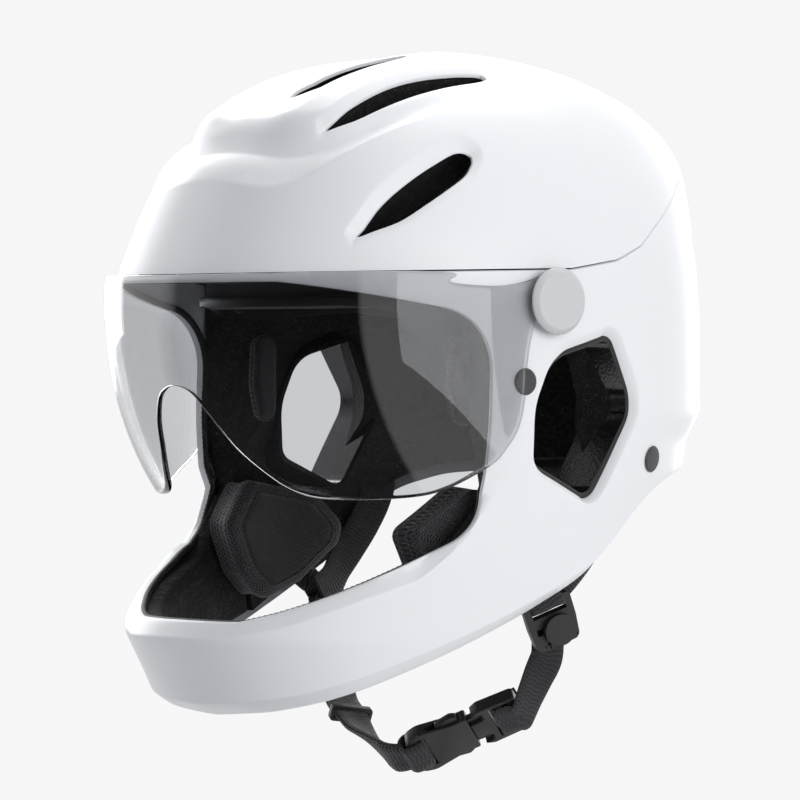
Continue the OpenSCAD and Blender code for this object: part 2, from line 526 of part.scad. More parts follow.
// Bearing for the visor: a flanged bush in the shell with a shoulder that the visor turns on
boss_in_x = shell_half_w - 12;
module visor_boss() {
    color(black) difference() {
        union() {
            translate([boss_in_x, pivot_y, pivot_z]) rotate([0, 90, 0]) cylinder(d = boss_d + 6, h = 3, $fn = 48);
            translate([boss_in_x, pivot_y, pivot_z]) rotate([0, 90, 0]) cylinder(d = boss_d - 2 * fit, h = hub_in_x - 0.2 - boss_in_x, $fn = 64);
            translate([boss_in_x, pivot_y, pivot_z]) rotate([0, 90, 0]) cylinder(d = boss_d - 2, h = hub_in_x + hub_t - boss_in_x, $fn = 64);
        }
        translate([boss_in_x - 1, pivot_y, pivot_z]) rotate([0, 90, 0]) cylinder(d = screw_d + 2 * fit, h = 40, $fn = 48);
    }
}
module visor_boss_left() { visor_boss(); }
module visor_boss_right() { mirror([1, 0, 0]) visor_boss(); }

module visor_knob() {
    r = knob_d / 2;
    seat = hub_in_x + hub_t + 0.2;
    color(grey) translate([seat, pivot_y, pivot_z]) rotate([0, 90, 0]) rotate_extrude($fn = 72)
        polygon([[0, -10], [screw_d / 2, -10], [screw_d / 2, 0], [r - 0.6, 0], [r, 0.6], [r, knob_t - 2.2], [r - 0.5, knob_t - 1.5],
            [r - 2.2, knob_t], [0, knob_t]]);
}
module visor_knob_left() { visor_knob(); }
module visor_knob_right() { mirror([1, 0, 0]) visor_knob(); }

// Strap anchors: a cap on the skin with a shank through the shell
front_anchor = [-26, 14.5];
rear_anchor = [51, -20];
anchor_cap_t = 1.1;
anchor_shank = 7;
function slope_at(p) = let (e = 4, y = p[0], z = p[1]) unit([1, -(skin_x(y + e, z) - skin_x(y - e, z)) / (2 * e), -(skin_x(y, z + e) - skin_x(y, z - e)) / (2 * e)]);
// Frame with its Z axis square to the skin at an anchor
module on_skin(p) {
    n = slope_at(p);
    translate([skin_x(p[0], p[1]), p[0], p[1]]) rotate([0, acos(n[2]), atan2(n[1], n[0])]) children();
}
module anchor_holes(wider = 0) {
    for (p = [front_anchor, rear_anchor]) on_skin(p) translate([0, 0, -20]) cylinder(d = anchor_shank_d + wider, h = 40, $fn = 32);
}
module anchor(p) {
    on_skin(p) translate([0, 0, 0.2]) rotate_extrude($fn = 48) polygon([[0, -anchor_shank], [anchor_shank_d / 2 - fit, -anchor_shank],
        [anchor_shank_d / 2 - fit, 0], [anchor_d / 2 - 0.2, 0], [anchor_d / 2, 0.3], [anchor_d / 2 - 0.8, anchor_cap_t - 0.2], [0, anchor_cap_t]]);
}
module front_anchors() { color(black) both_sides() anchor(front_anchor); }
module rear_anchors() { color(black) both_sides() anchor(rear_anchor); }

// Webbing swept along points; each entry is a point and the direction of its width
function strap_rings(path, w, t) = [for (i = [0:len(path) - 1]) let (n = len(path), p = path[i][0],
    along = unit(path[min(i + 1, n - 1)][0] - path[max(i - 1, 0)][0]), wide = unit(path[i][1] - along * (along * path[i][1])),
    thick = cross(along, wide))
    [for (q = [[-1, -1], [1, -1], [1, 1], [-1, 1]]) p + wide * (q[0] * w / 2) + thick * (q[1] * t / 2)]];
// Smooth curve through a path's points, in steps
function eased(path, steps = 3) = let (n = len(path)) concat([for (i = [0:n - 2], k = [0:steps - 1]) let (t = k / steps,
    a = path[max(i - 1, 0)][0], b = path[i][0], c = path[i + 1][0], d = path[min(i + 2, n - 1)][0])
    [(2 * b + (c - a) * t + (2 * a - 5 * b + 4 * c - d) * t * t + (3 * b - a - 3 * c + d) * t * t * t) / 2,
        between(unit(path[i][1]), unit(path[i + 1][1]), t)]], [path[n - 1]]);
module strap(path, w = strap_w, t = strap_t) { tube(strap_rings(eased(path), w, t)); }
along_y = [0, 1, 0];
strap_inset = shell_t + strap_t / 2 + 1.6;
// Point inside the shell with the direction of the skin there, leaning by rise
function inside_skin(y, z, rise = 0) = [[skin_x(y, z, strap_inset), y, z], [(skin_x(y + 3, z, strap_inset) - skin_x(y - 3, z, strap_inset)) / 6, 1, rise]];
function front_strap_path() = [inside_skin(-26, 17), inside_skin(-31, 2), inside_skin(-31, -14), inside_skin(-28, -32, 0.3), inside_skin(-18, -50, 0.5),
    [inside_skin(-6, -62)[0] + [-1.5, 0, 0], [0, 1, 0.5]], [divider_point([-3.8, 22, 4.9]), between([0, 0.9, 0.45], divider_x, 0.5)],
    [divider_point([-1.9, divider_h / 2 + 5.5, 2]), divider_x], [divider_point([-1.5, divider_h / 2 + 0.8, 0.9]), divider_x]];
function rear_strap_path() = [[inside_skin(53, -16)[0] + [-0.8, 0, 0], [-0.4, 1, 0.4]], [inside_skin(48, -27)[0] + [-2.8, 0, 0], [-0.4, 1, 0.2]],
    [inside_skin(42, -39)[0] + [-7, 0, 0], [-0.3, 1, -0.1]], [inside_skin(33.5, -51)[0] + [-9, 0, 0], [-0.25, 0.9, -0.4]],
    [[81.5, 25.5, -61], [-0.2, 0.7, -0.7]], [divider_point([13, 15, -3.8]), -divider_up], [divider_point([3.5, 11.5, behind_divider - 0.4]), -divider_up]];
module strap_channel(path, last, wider = 0) {
    strap([for (i = [0:last]) path[i]], strap_w + 2 + wider, strap_t + 3 + wider);
}
module riveted_strap(path) {
    color(webbing) difference() {
        strap(path);
        anchor_holes(0.2);
    }
}
module front_strap() { riveted_strap(front_strap_path()); }
module rear_strap() { riveted_strap(rear_strap_path()); }
module front_strap_left() { front_strap(); }
module front_strap_right() { mirror([1, 0, 0]) front_strap(); }
module rear_strap_left() { rear_strap(); }
module rear_strap_right() { mirror([1, 0, 0]) rear_strap(); }

// Divider: joins the two straps of a side below the ear, with a cam lever that locks them
divider_at = [shell_half_w - 31, 11.5, -88.5];
divider_w = 22;
divider_h = 22;
divider_roll = 22;
divider_t = 4;
divider_lean = 14;
divider_turn = -16;
function roll_x(p, a) = [p[0], p[1] * cos(a) - p[2] * sin(a), p[1] * sin(a) + p[2] * cos(a)];
function roll_y(p, a) = [p[0] * cos(a) + p[2] * sin(a), p[1], -p[0] * sin(a) + p[2] * cos(a)];
// Direction in the divider's own frame: X across it, Y up it, Z out of its face
function divider_way(p) = turn_z(roll_y(roll_x([p[2], p[0], p[1]], divider_roll), divider_lean), divider_turn);
function divider_point(p) = divider_at + divider_way(p);
divider_x = divider_way([1, 0, 0]);
divider_up = divider_way([0, 1, 0]);
behind_divider = -divider_t / 2 - strap_t / 2 - seat_gap;
lever_t = 3;
lever_r = 7;
lever_at = [1.5, -3.2];
lever_hinge = [-9.3, 1.5];
lever_pin_d = 1.6;
module in_divider() { translate(divider_at) rotate([0, divider_lean, divider_turn]) rotate([divider_roll, 0, 0]) rotate([90, 0, 90]) children(); }
module divider() {
    half = divider_w / 2;
    body = rounded([[-half, divider_h / 2, 2], [half, divider_h / 2, 2], [half, 0, 8], [half - 1, -divider_h / 2, 3], [1 - half, -divider_h / 2, 3], [-half, 0, 8]], 3);
    color(black) in_divider() difference() {
        translate([0, 0, -divider_t / 2]) linear_extrude(divider_t) polygon(body);
        translate([-8, 4.2, -divider_t]) cube([16, 4, 2 * divider_t]);
        translate([-8, -3.5, -divider_t]) cube([16, 3, 2 * divider_t]);
        translate([lever_at[0] - 6, -divider_h / 2 - 1, 0.1]) cube([12, divider_h / 2 - 5.9, 5]);
        translate([lever_at[0] - 7.8, lever_hinge[0], lever_hinge[1]]) rotate([0, 90, 0]) cylinder(d = lever_pin_d, h = 15.6, $fn = 24);
    }
}
module divider_left() { divider(); }
module divider_right() { mirror([1, 0, 0]) divider(); }
module divider_lock() {
    seat = divider_t / 2 + seat_gap;
    color(black) in_divider() union() {
        translate([lever_at[0], lever_at[1], seat]) cylinder(r = lever_r, h = lever_t, $fn = 48);
        translate([lever_at[0] - 5.4, lever_hinge[0] - 1, lever_hinge[1] - 0.7]) cube([10.8, 2.2, seat + 1 - lever_hinge[1] + 0.7]);
        translate([lever_at[0] - 7.5, lever_hinge[0], lever_hinge[1]]) rotate([0, 90, 0]) cylinder(d = lever_pin_d - 2 * fit, h = 15, $fn = 24);
    }
}
module divider_lock_left() { divider_lock(); }
module divider_lock_right() { mirror([1, 0, 0]) divider_lock(); }

// Buckle frame: X runs from the plug to the socket, Y across, Z out of the face
buckle_at = [45, -10, -135.3];
buckle_x = unit([-0.677, -0.625, -0.39]);
buckle_z = unit([0.698, -0.376, -0.61] - buckle_x * ([0.698, -0.376, -0.61] * buckle_x));
buckle_y = cross(buckle_z, buckle_x);
function buckle_point(p) = buckle_at + buckle_x * p[0] + buckle_y * p[1] + buckle_z * p[2];
module in_buckle() {
    multmatrix([for (k = [0:2]) [buckle_x[k], buckle_y[k], buckle_z[k], buckle_at[k]]]) children();
}
buckle_wall = 1.5;
socket_from = -3;
prong_hinge_x = -8;
module buckle_socket() {
    end = buckle_len / 2;
    inner = buckle_t - 2 * buckle_wall;
    color(black) in_buckle() difference() {
        translate([0, 0, -buckle_t / 2]) linear_extrude(buckle_t) polygon(rounded([[socket_from, -buckle_w / 2 + 3.4, 1], [socket_from + 8, -buckle_w / 2 + 3.4, 1],
            [socket_from + 22, -buckle_w / 2 + 1, 8], [end, -buckle_w / 2 + 3, 4], [end, buckle_w / 2 - 3, 4], [socket_from + 22, buckle_w / 2 - 1, 8],
            [socket_from + 8, buckle_w / 2 - 3.4, 1], [socket_from, buckle_w / 2 - 3.4, 1]], 3));
        translate([socket_from - 1, -buckle_w / 2 + 5, -inner / 2]) cube([20, buckle_w - 10, inner]);
        translate([socket_from + 3, -buckle_w / 2 - 1, -inner / 2]) cube([15.5, buckle_w + 2, inner]);
        translate([end - 9, -strap_w / 2 - 0.5, -buckle_t]) cube([3.2, strap_w + 1, 2 * buckle_t]);
    }
}
module buckle_plug() {
    start = -buckle_len / 2;
    inner = buckle_t - 2 * buckle_wall - 2 * seat_gap;
    color(black) in_buckle() difference() {
        union() {
            translate([0, 0, -buckle_t / 2]) linear_extrude(buckle_t) polygon(rounded([[start, -strap_w / 2 - 2, 2], [prong_hinge_x - 1, -buckle_w / 2 + 2, 3],
                [socket_from - seat_gap, -buckle_w / 2 + 4.5, 1], [socket_from - seat_gap, buckle_w / 2 - 4.5, 1], [prong_hinge_x - 1, buckle_w / 2 - 2, 3],
                [start, strap_w / 2 + 2, 2]], 3));
            translate([socket_from - 4, -2.2, -inner / 2]) cube([20, 4.4, inner]);
        }
        translate([start + 4, -strap_w / 2 - 0.5, -buckle_t]) cube([3, strap_w + 1, 2 * buckle_t]);
        translate([start + 10, -strap_w / 2 - 0.5, -buckle_t]) cube([3, strap_w + 1, 2 * buckle_t]);
        for (s = [-1, 1]) {
            translate([prong_hinge_x, s * 6.2, -buckle_t]) cylinder(r = 2.2, h = 2 * buckle_t, $fn = 32);
            translate([prong_hinge_x, s * 6.2 - 2.2, -buckle_t]) cube([10, 4.4, 2 * buckle_t]);
        }
    }
}
// Spring arm of the plug: its grip shows through the side of the socket
module buckle_prong(s) {
    inner = buckle_t - 2 * buckle_wall - 2 * seat_gap;
    color(black) in_buckle() mirror([0, s < 0 ? 1 : 0, 0]) union() {
        translate([prong_hinge_x, 6.2, -inner / 2]) cylinder(r = 1.7, h = inner, $fn = 32);
        translate([0, 0, -inner / 2]) linear_extrude(inner) polygon(rounded([[prong_hinge_x, 4.7, 0.4], [socket_from + 16, 4.9, 0.5], [socket_from + 16, 6.5, 0.5],
            [socket_from + 13.5, 10.2, 1.5], [socket_from + 6, 11.6, 2], [socket_from + 3.6, 10.4, 0.6], [socket_from + 3.5, 6.4, 0.4], [prong_hinge_x, 7, 0.4]], 2));
    }
}
module buckle_prong_upper() { buckle_prong(-1); }
module buckle_prong_lower() { buckle_prong(1); }

// Lower straps: from behind the divider to the buckle on the left, from the buckle to the other divider on the right
strap_double = 2 * strap_t + 0.3;
behind_far_divider = -divider_t / 2 - strap_double / 2 - seat_gap;
function across_x(p) = [-p[0], p[1], p[2]];
function chin_strap_left_path() = [for (p = [[0.5, -1, 0], [-3.5, -8, -0.3], [-8, -15, -1.2]])
        [divider_point([p[0], p[1], behind_divider + p[2]]), divider_x],
    for (t = [0, 0.25, 0.5, 0.7, 0.85, 1]) let (a = divider_point([-11, -20, behind_divider - 1]), b = buckle_point([-buckle_len / 2 - 13, 0, 0]),
        c = buckle_point([-buckle_len / 2 - 0.5, 0, 0])) [between(between(a, b, t), between(b, c, t), t), between(along_y, buckle_y, t)]];
function chin_strap_right_path() = let (top = across_x(divider_point([0.5, -1, behind_far_divider])), low = across_x(divider_point([-3, -8, behind_far_divider])),
    wide = across_x(divider_x)) [[buckle_point([buckle_len / 2 + 0.5, 0, 0]), buckle_y], [buckle_point([buckle_len / 2 + 3.2, 0, 0]), buckle_y],
    [[19.5, -30.2, -147.1], [-0.1, 0.62, -0.78]], [[12, -29.2, -145.4], [-0.05, 0.64, -0.72]], [[0, -25.8, -142.2], [0.05, 0.76, -0.58]],
    [[-14, -21.5, -138], [0.08, 0.92, -0.32]], [[-28, -16.5, -131.5], along_y], [[-41, -11.5, -126.3], along_y], [[-52, -5, -117.5], along_y],
    [[-61, 3.5, -109], between(along_y, wide, 0.5)],
    [across_x(divider_point([-8, -15, behind_far_divider - 0.8])), wide], [low, wide], [top, wide]];
module chin_strap_left() { color(webbing) strap(chin_strap_left_path()); }
module chin_strap_right() { color(webbing) strap(chin_strap_right_path(), strap_w, strap_double); }

// Rubber ring that keeps the strap's free end
keeper_at = [-28, -16.5, -131.5];
module strap_keeper() {
    along = unit([-27, 10, 11.7]);
    wide = unit(along_y - along * (along * along_y));
    thick = cross(along, wide);
    inner_w = strap_w / 2 + 0.4;
    inner_t = strap_double / 2 + 0.4;
    color(black) multmatrix([for (k = [0:2]) [thick[k], wide[k], along[k], keeper_at[k]]]) translate([0, 0, -1.6]) difference() {
        linear_extrude(3.2) polygon(rounded([[-inner_t - 1.6, -inner_w - 1.6, 1.5], [inner_t + 1.6, -inner_w - 1.6, 1.5], [inner_t + 1.6, inner_w + 1.6, 1.5],
            [-inner_t - 1.6, inner_w + 1.6, 1.5]], 3));
        translate([-inner_t, -inner_w, -1]) cube([2 * inner_t, 2 * inner_w, 6]);
    }
}

// Band and belts of the fit adjuster: upright ribbons inside the head cavity
band_z = 47;
temple_a = -33;
band_lift = seat_gap + belt_t / 2;
function ribbon_rings(path, h, t) = [for (i = [0:len(path) - 1]) let (n = len(path), p = path[i],
    along = unit(path[min(i + 1, n - 1)] - path[max(i - 1, 0)]), out = unit([p[0], p[1], 0]),
    side = unit(out - along * (along * out)), up = cross(along, side))
    [for (q = [[-1, -1], [1, -1], [1, 1], [-1, 1]]) p + side * (q[0] * t / 2) + up * (q[1] * h / 2)]];
// Frame on the cavity's wall at a temple, Z outwards, where the belt is riveted to the band
rivet_a = temple_a - 2.5;
module at_temple() {
    x = cavity_r(band_z, rivet_a) * cos(rivet_a);
    y = cavity_r(band_z, rivet_a) * sin(rivet_a);
    turn = atan2(-pow(-y / cavity_l(band_z), cavity_power - 1) / cavity_l(band_z), pow(x / cavity_w(band_z), cavity_power - 1) / cavity_w(band_z));
    translate([x, y, band_z]) rotate([0, 90, turn]) children();
}
rivet_d = 3;
belt_inset = band_lift + belt_t + seat_gap;
module front_band() {
    color(black) difference() {
        tube(ribbon_rings([for (k = [0:14]) cavity(band_z, between(-180 - temple_a, temple_a, k / 14), band_lift)], belt_h, belt_t));
        both_sides() at_temple() translate([0, 0, -8]) cylinder(d = rivet_d, h = 8, $fn = 32);
    }
}
module band_rivets() {
    head = belt_inset + belt_t / 2 + 0.3;
    color(black) both_sides() at_temple() rotate_extrude($fn = 32) polygon([[0, -head - 1], [2.4, -head - 1], [3, -head - 0.5], [3, -head],
        [rivet_d / 2 - fit, -head], [rivet_d / 2 - fit, -seat_gap / 2], [0, -seat_gap / 2]]);
}
rack_y = 93;
dial_z = -38;
housing_w = 46;
housing_h = 30;
housing_t = 9;
rack_h = 2.4;
tooth_pitch = 2 * 3.14159265 * pinion_r / pinion_teeth;
tooth_h = 1.1;
rack_drop = pinion_r + rack_h / 2 + tooth_h / 2;
sleeve_from = 27;
sleeve_to = 45;
tongue_h = 4;
// Belt along the side of the head, down behind the ear and into a sleeve beside the dial
module belt(s) {
    z = dial_z + s * rack_drop;
    path = [cavity(band_z, temple_a - 6, belt_inset), cavity(band_z, temple_a + 1, belt_inset), cavity(band_z, -18, belt_inset - 0.5), cavity(48, 0, belt_inset - 1),
        cavity(49, 18, belt_inset - 1), cavity(46, 34, belt_inset - 1), cavity(34, 46, belt_inset - 1), cavity(14, 54, belt_inset), cavity(-10, 58, belt_inset + 1),
        [48, 83, z + 8], [48.5, 89, z + 2.5], [47, rack_y - 0.6, z], [sleeve_to - 0.5, rack_y, z]];
    n = len(path);
    rings = ribbon_rings(path, belt_h, belt_t);
    narrow = ribbon_rings(path, 7, belt_t);
    color(black) difference() {
        union() {
            tube([for (i = [0:n - 1]) i > n - 5 ? narrow[i] : rings[i]]);
            translate([sleeve_from, rack_y - 1.8, z - 3.5]) cube([sleeve_to - sleeve_from, 3.6, 7]);
        }
        translate([sleeve_from - 1, rack_y - belt_t / 2 - fit, z - tongue_h / 2 - fit]) cube([sleeve_to - sleeve_from - 0.5, belt_t + 2 * fit, tongue_h + 2 * fit]);
        at_temple() translate([0, 0, -8]) cylinder(d = rivet_d, h = 8, $fn = 32);
    }
}
module belt_left() { belt(1); }
module belt_right() { mirror([1, 0, 0]) belt(-1); }
// Toothed rack; its tongue slides in the belt's sleeve
module rack(s) {
    z = dial_z + s * rack_drop;
    color(black) union() {
        translate([-17, rack_y - belt_t / 2, z - rack_h / 2]) cube([38, belt_t, rack_h]);
        translate([20, rack_y - belt_t / 2, z - tongue_h / 2]) cube([sleeve_to - 22.5, belt_t, tongue_h]);
        for (k = [-6:7]) translate([(k + 0.5) * tooth_pitch, rack_y, z - s * rack_h / 2]) rotate([90, 0, 0])
            linear_extrude(belt_t, center = true) polygon([[-0.5, 0.1 * s], [0.5, 0.1 * s], [0.2, -s * tooth_h], [-0.2, -s * tooth_h]]);
    }
}
module rack_left() { rack(1); }
module rack_right() { mirror([1, 0, 0]) rack(-1); }

cradle_inset = 12.4;
cradle_t = 1.6;
module nape_cradle() {
    color(black) tube(ribbon_rings([for (k = [0:12]) cavity(0, between(62, 118, k / 12), cradle_inset) + [0, 0, dial_z]], 30, cradle_t));
}
function cradle_y(x) = let (d = cradle_inset + cradle_t / 2 + 0.4)
    (head_reach - d) * pow(1 - pow(abs(x) / (head_half_w - d), cavity_power), 1 / cavity_power);
module nape_pad() {
    outline = rounded([[-34, dial_z - 13, 8], [34, dial_z - 13, 8], [34, dial_z + 13, 8], [-34, dial_z + 13, 8]], 3);
    color(fabric) cushion([for (ring = cushion_points(outline, thin_pad_t)) [for (p = ring) [p[0], cradle_y(p[0]) - p[2], p[1]]]],
        [0, cradle_y(0) - thin_pad_t * 1.07, dial_z], [0, cradle_y(0) - 0.6, dial_z]);
}
dial_face_y = rack_y + housing_t / 2;
module dial_housing() {
    color(black) difference() {
        translate([0, rack_y + housing_t / 2, dial_z]) rotate([90, 0, 0]) linear_extrude(housing_t)
            polygon(rounded([[-housing_w / 2, -housing_h / 2, 6], [housing_w / 2, -housing_h / 2, 6], [housing_w / 2, housing_h / 2, 6], [-housing_w / 2, housing_h / 2, 6]], 4));
        translate([-housing_w, rack_y - 3, dial_z - 10]) cube([2 * housing_w, 5.5, 20]);
        translate([0, rack_y, dial_z]) rotate([-90, 0, 0]) cylinder(d = 5, h = 20, $fn = 48);
    }
}
module dial_cover() {
    color(black) translate([0, dial_face_y - housing_t - seat_gap, dial_z]) rotate([90, 0, 0]) linear_extrude(1.2)
        polygon(rounded([[-housing_w / 2, -housing_h / 2, 6], [housing_w / 2, -housing_h / 2, 6], [housing_w / 2, housing_h / 2, 6], [-housing_w / 2, housing_h / 2, 6]], 4));
}
module fit_dial() {
    ribs = 20;
    color(black) translate([0, dial_face_y + seat_gap, dial_z]) rotate([-90, 0, 0]) difference() {
        union() {
            rotate_extrude($fn = 72) polygon([[0, 0], [dial_d / 2 - 0.8, 0], [dial_d / 2, 0.8], [dial_d / 2, 7], [dial_d / 2 - 1.4, 8.4], [0, 8.4]]);
            translate([0, 0, -3.2]) cylinder(d = 5 - 2 * fit, h = 4, $fn = 48);
            translate([0, 0, -6.2]) cylinder(d = 2 - 2 * fit, h = 4, $fn = 32);
        }
        for (k = [0:ribs - 1]) rotate([0, 0, k * 360 / ribs]) translate([dial_d / 2 + 0.5, 0, 1.5]) cylinder(d = 2.2, h = 9, $fn = 16);
    }
}
module dial_pinion() {
    color(black) translate([0, rack_y, dial_z]) rotate([90, 0, 0]) translate([0, 0, -1.3]) difference() {
        union() {
            cylinder(r = pinion_r - tooth_h / 2 - 0.1, h = 2.8, $fn = 48);
            for (k = [0:pinion_teeth - 1]) rotate([0, 0, k * 360 / pinion_teeth]) linear_extrude(2.8)
                polygon([[-0.45, pinion_r - tooth_h / 2 - 0.4], [0.45, pinion_r - tooth_h / 2 - 0.4], [0.2, pinion_r + tooth_h / 2 - 0.15], [-0.2, pinion_r + tooth_h / 2 - 0.15]]);
        }
        translate([0, 0, -1]) cylinder(d = 2, h = 6, $fn = 32);
    }
}

upper_shell();
lower_shell();
crown_liner();
lower_liner();
chin_liner();
eye_port_trim();
ear_ring_left();
ear_ring_right();
brow_pad();
crown_pad();
nape_pad();
side_pad_left();
side_pad_right();
cheek_pad_left();
cheek_pad_right();
visor();
visor_knob_left();
visor_knob_right();
visor_boss_left();
visor_boss_right();
front_anchors();
rear_anchors();
front_strap_left();
front_strap_right();
rear_strap_left();
rear_strap_right();
divider_left();
divider_right();
divider_lock_left();
divider_lock_right();
chin_strap_left();
chin_strap_right();
strap_keeper();
buckle_socket();
buckle_plug();
buckle_prong_upper();
buckle_prong_lower();
front_band();
band_rivets();
belt_left();
belt_right();
rack_left();
rack_right();
nape_cradle();
dial_housing();
dial_cover();
fit_dial();
dial_pinion();
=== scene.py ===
# Full-face bicycle helmet with a chin bar, a lifting clear visor and a buckled chin strap.
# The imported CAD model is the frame: every piece below sits in its place, in metres.
import bpy
import bmesh
import json
import math
import numpy as np
from mathutils import Matrix, Vector
from mathutils.geometry import delaunay_2d_cdt

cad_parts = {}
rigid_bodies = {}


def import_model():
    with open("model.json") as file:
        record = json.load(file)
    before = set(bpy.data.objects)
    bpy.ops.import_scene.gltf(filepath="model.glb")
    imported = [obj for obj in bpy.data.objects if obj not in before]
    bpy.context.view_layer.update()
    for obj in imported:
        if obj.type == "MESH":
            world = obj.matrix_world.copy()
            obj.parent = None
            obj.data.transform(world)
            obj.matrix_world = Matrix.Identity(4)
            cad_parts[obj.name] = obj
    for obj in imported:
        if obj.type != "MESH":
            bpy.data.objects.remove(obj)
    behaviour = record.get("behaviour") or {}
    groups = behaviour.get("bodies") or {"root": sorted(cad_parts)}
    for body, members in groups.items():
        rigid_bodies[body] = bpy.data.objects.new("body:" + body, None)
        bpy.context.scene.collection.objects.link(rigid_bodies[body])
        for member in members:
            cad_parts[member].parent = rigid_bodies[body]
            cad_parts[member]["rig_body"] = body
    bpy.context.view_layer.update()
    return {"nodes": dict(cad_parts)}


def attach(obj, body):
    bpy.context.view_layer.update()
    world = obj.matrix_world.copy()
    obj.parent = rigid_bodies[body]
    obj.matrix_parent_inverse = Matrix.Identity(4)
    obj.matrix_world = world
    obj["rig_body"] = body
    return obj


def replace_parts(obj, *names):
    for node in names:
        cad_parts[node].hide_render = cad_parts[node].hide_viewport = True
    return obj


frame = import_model()

# Camera
# The photograph's viewpoint: from the wearer's front left, almost level, slightly rolled.
# A long lens 2.5 m away; the shift only frames the helmet as the photograph does.
turn, tilt, roll = (math.radians(degrees) for degrees in (52, 1.2, -0.7))
camera_away = 2.5
ahead = Vector((-math.sin(turn) * math.cos(tilt), math.cos(turn) * math.cos(tilt), -math.sin(tilt)))
side = ahead.cross(Vector((0, 0, 1))).normalized()
above = side.cross(ahead)
right = side * math.cos(roll) + above * math.sin(roll)
up = above * math.cos(roll) - side * math.sin(roll)
camera_data = bpy.data.cameras.new("camera")
camera_data.lens = 258.75
camera_data.sensor_width = 36
camera_data.shift_x = -0.02
camera_data.shift_y = 0.0159
camera_data.clip_end = 50
camera = bpy.data.objects.new("camera", camera_data)
axes = Matrix((right, up, -ahead)).transposed().to_4x4()
camera.matrix_world = Matrix.Translation(ahead * -camera_away) @ axes
bpy.context.collection.objects.link(camera)
bpy.context.scene.camera = camera

# Studio
# A pale seamless floor below the helmet, a white surround with a dark card in front that only
# gloss sees, and five large soft lamps: on the picture's right and left, two behind, one on top.
scene = bpy.context.scene
scene.view_settings.view_transform = "Standard"


def nodes_of(owner):
    owner.use_nodes = True
    owner.node_tree.nodes.clear()
    return owner.node_tree


def add(tree, kind, inputs=None, **settings):
    node = tree.nodes.new("ShaderNode" + kind)
    for key, value in settings.items():
        setattr(node, key, value)
    for key, value in (inputs or {}).items():
        socket = node.inputs[key]
        if isinstance(value, bpy.types.NodeSocket):
            tree.links.new(value, socket)
        else:
            socket.default_value = value
    return node


def math_node(tree, operation, first, second=0.0):
    return add(tree, "Math", {0: first, 1: second}, operation=operation).outputs[0]


def seen_directly(tree):
    """1 for the camera's own rays and for those that gloss and glass send on."""
    path = add(tree, "LightPath").outputs
    first = math_node(tree, "MAXIMUM", path["Is Camera Ray"], path["Is Glossy Ray"])
    return math_node(tree, "MAXIMUM", first, path["Is Transmission Ray"])


def surround_tone(tree, place):
    """White, but gloss sees a dark card across the front, from the wearer's right to the camera."""
    way = add(tree, "SeparateXYZ", {0: add(tree, "TexCoord").outputs[place]}).outputs
    azimuth = math_node(tree, "ARCTAN2", way[1], way[0])
    card = math_node(tree, "GREATER_THAN", add(tree, "LightPath").outputs["Glossy Depth"], 0.5)
    for clear, covered in ((-145, -141), (-34, -37)):
        ends = {"From Min": math.radians(clear), "From Max": math.radians(covered)}
        edge = add(tree, "MapRange", {"Value": azimuth, **ends}).outputs[0]
        card = math_node(tree, "MULTIPLY", card, edge)
    return add(tree, "MixRGB", {0: card, 1: (0.925, 0.925, 0.935, 1), 2: (0.03, 0.03, 0.032, 1)}).outputs[0]


world = bpy.data.worlds.new("surround")
scene.world = world
tree = nodes_of(world)
lit = add(tree, "Background", {"Color": (0.94, 0.955, 1.0, 1), "Strength": 0.55})
seen = add(tree, "Background", {"Color": surround_tone(tree, "Generated"), "Strength": 1.0})
mix = add(tree, "MixShader", {0: seen_directly(tree), 1: lit.outputs[0], 2: seen.outputs[0]})
add(tree, "OutputWorld", {0: mix.outputs[0]})

floor_z, floor_half = -0.30, 9
floor = bpy.data.objects.new("floor", bpy.data.meshes.new("floor"))
corners = [(x * floor_half, y * floor_half, floor_z) for x, y in ((-1, -1), (1, -1), (1, 1), (-1, 1))]
floor.data.from_pydata(corners, [], [(0, 1, 2, 3)])
bpy.context.collection.objects.link(floor)
paper = bpy.data.materials.new("paper")
tree = nodes_of(paper)
matte = add(tree, "BsdfDiffuse", {"Color": (0.52, 0.52, 0.53, 1)})
glow = add(tree, "Emission", {"Color": surround_tone(tree, "Object"), "Strength": 1.0})
here = add(tree, "TexCoord").outputs["Object"]
away = add(tree, "VectorMath", {0: here, 1: (0, 0, floor_z)}, operation="DISTANCE").outputs["Value"]
near_and_far = {"From Min": 0.25, "From Max": 1.3, "To Min": 0.93, "To Max": 1.0}
share = add(tree, "MapRange", {"Value": away, **near_and_far}).outputs[0]
flat_share = math_node(tree, "MULTIPLY", seen_directly(tree), share)
mix = add(tree, "MixShader", {0: flat_share, 1: matte.outputs[0], 2: glow.outputs[0]})
add(tree, "OutputMaterial", {"Surface": mix.outputs[0]})
floor.data.materials.append(paper)

lamp_size = 1.6
for name, place, aim_z, power in (("right", (2.4, 0, 0.25), 0, 36), ("left", (-2.4, 0.2, 0.6), 0, 28),
                                  ("behind", (-1.2, 2.1, 0.25), 0, 18),
                                  ("behind high", (-1.6, 1.0, 1.5), 0.05, 22),
                                  ("top", (-0.6, 0.8, 2.2), 0.05, 24)):
    data = bpy.data.lights.new(name, "AREA")
    data.shape = "RECTANGLE"
    data.size, data.size_y = lamp_size, lamp_size
    data.energy = power
    lamp = bpy.data.objects.new(name, data)
    lamp.location = place
    lamp.rotation_euler = (Vector((0, 0, aim_z)) - Vector(place)).to_track_quat("-Z", "Y").to_euler()
    lamp.visible_glossy = name != "right"
    bpy.context.collection.objects.link(lamp)

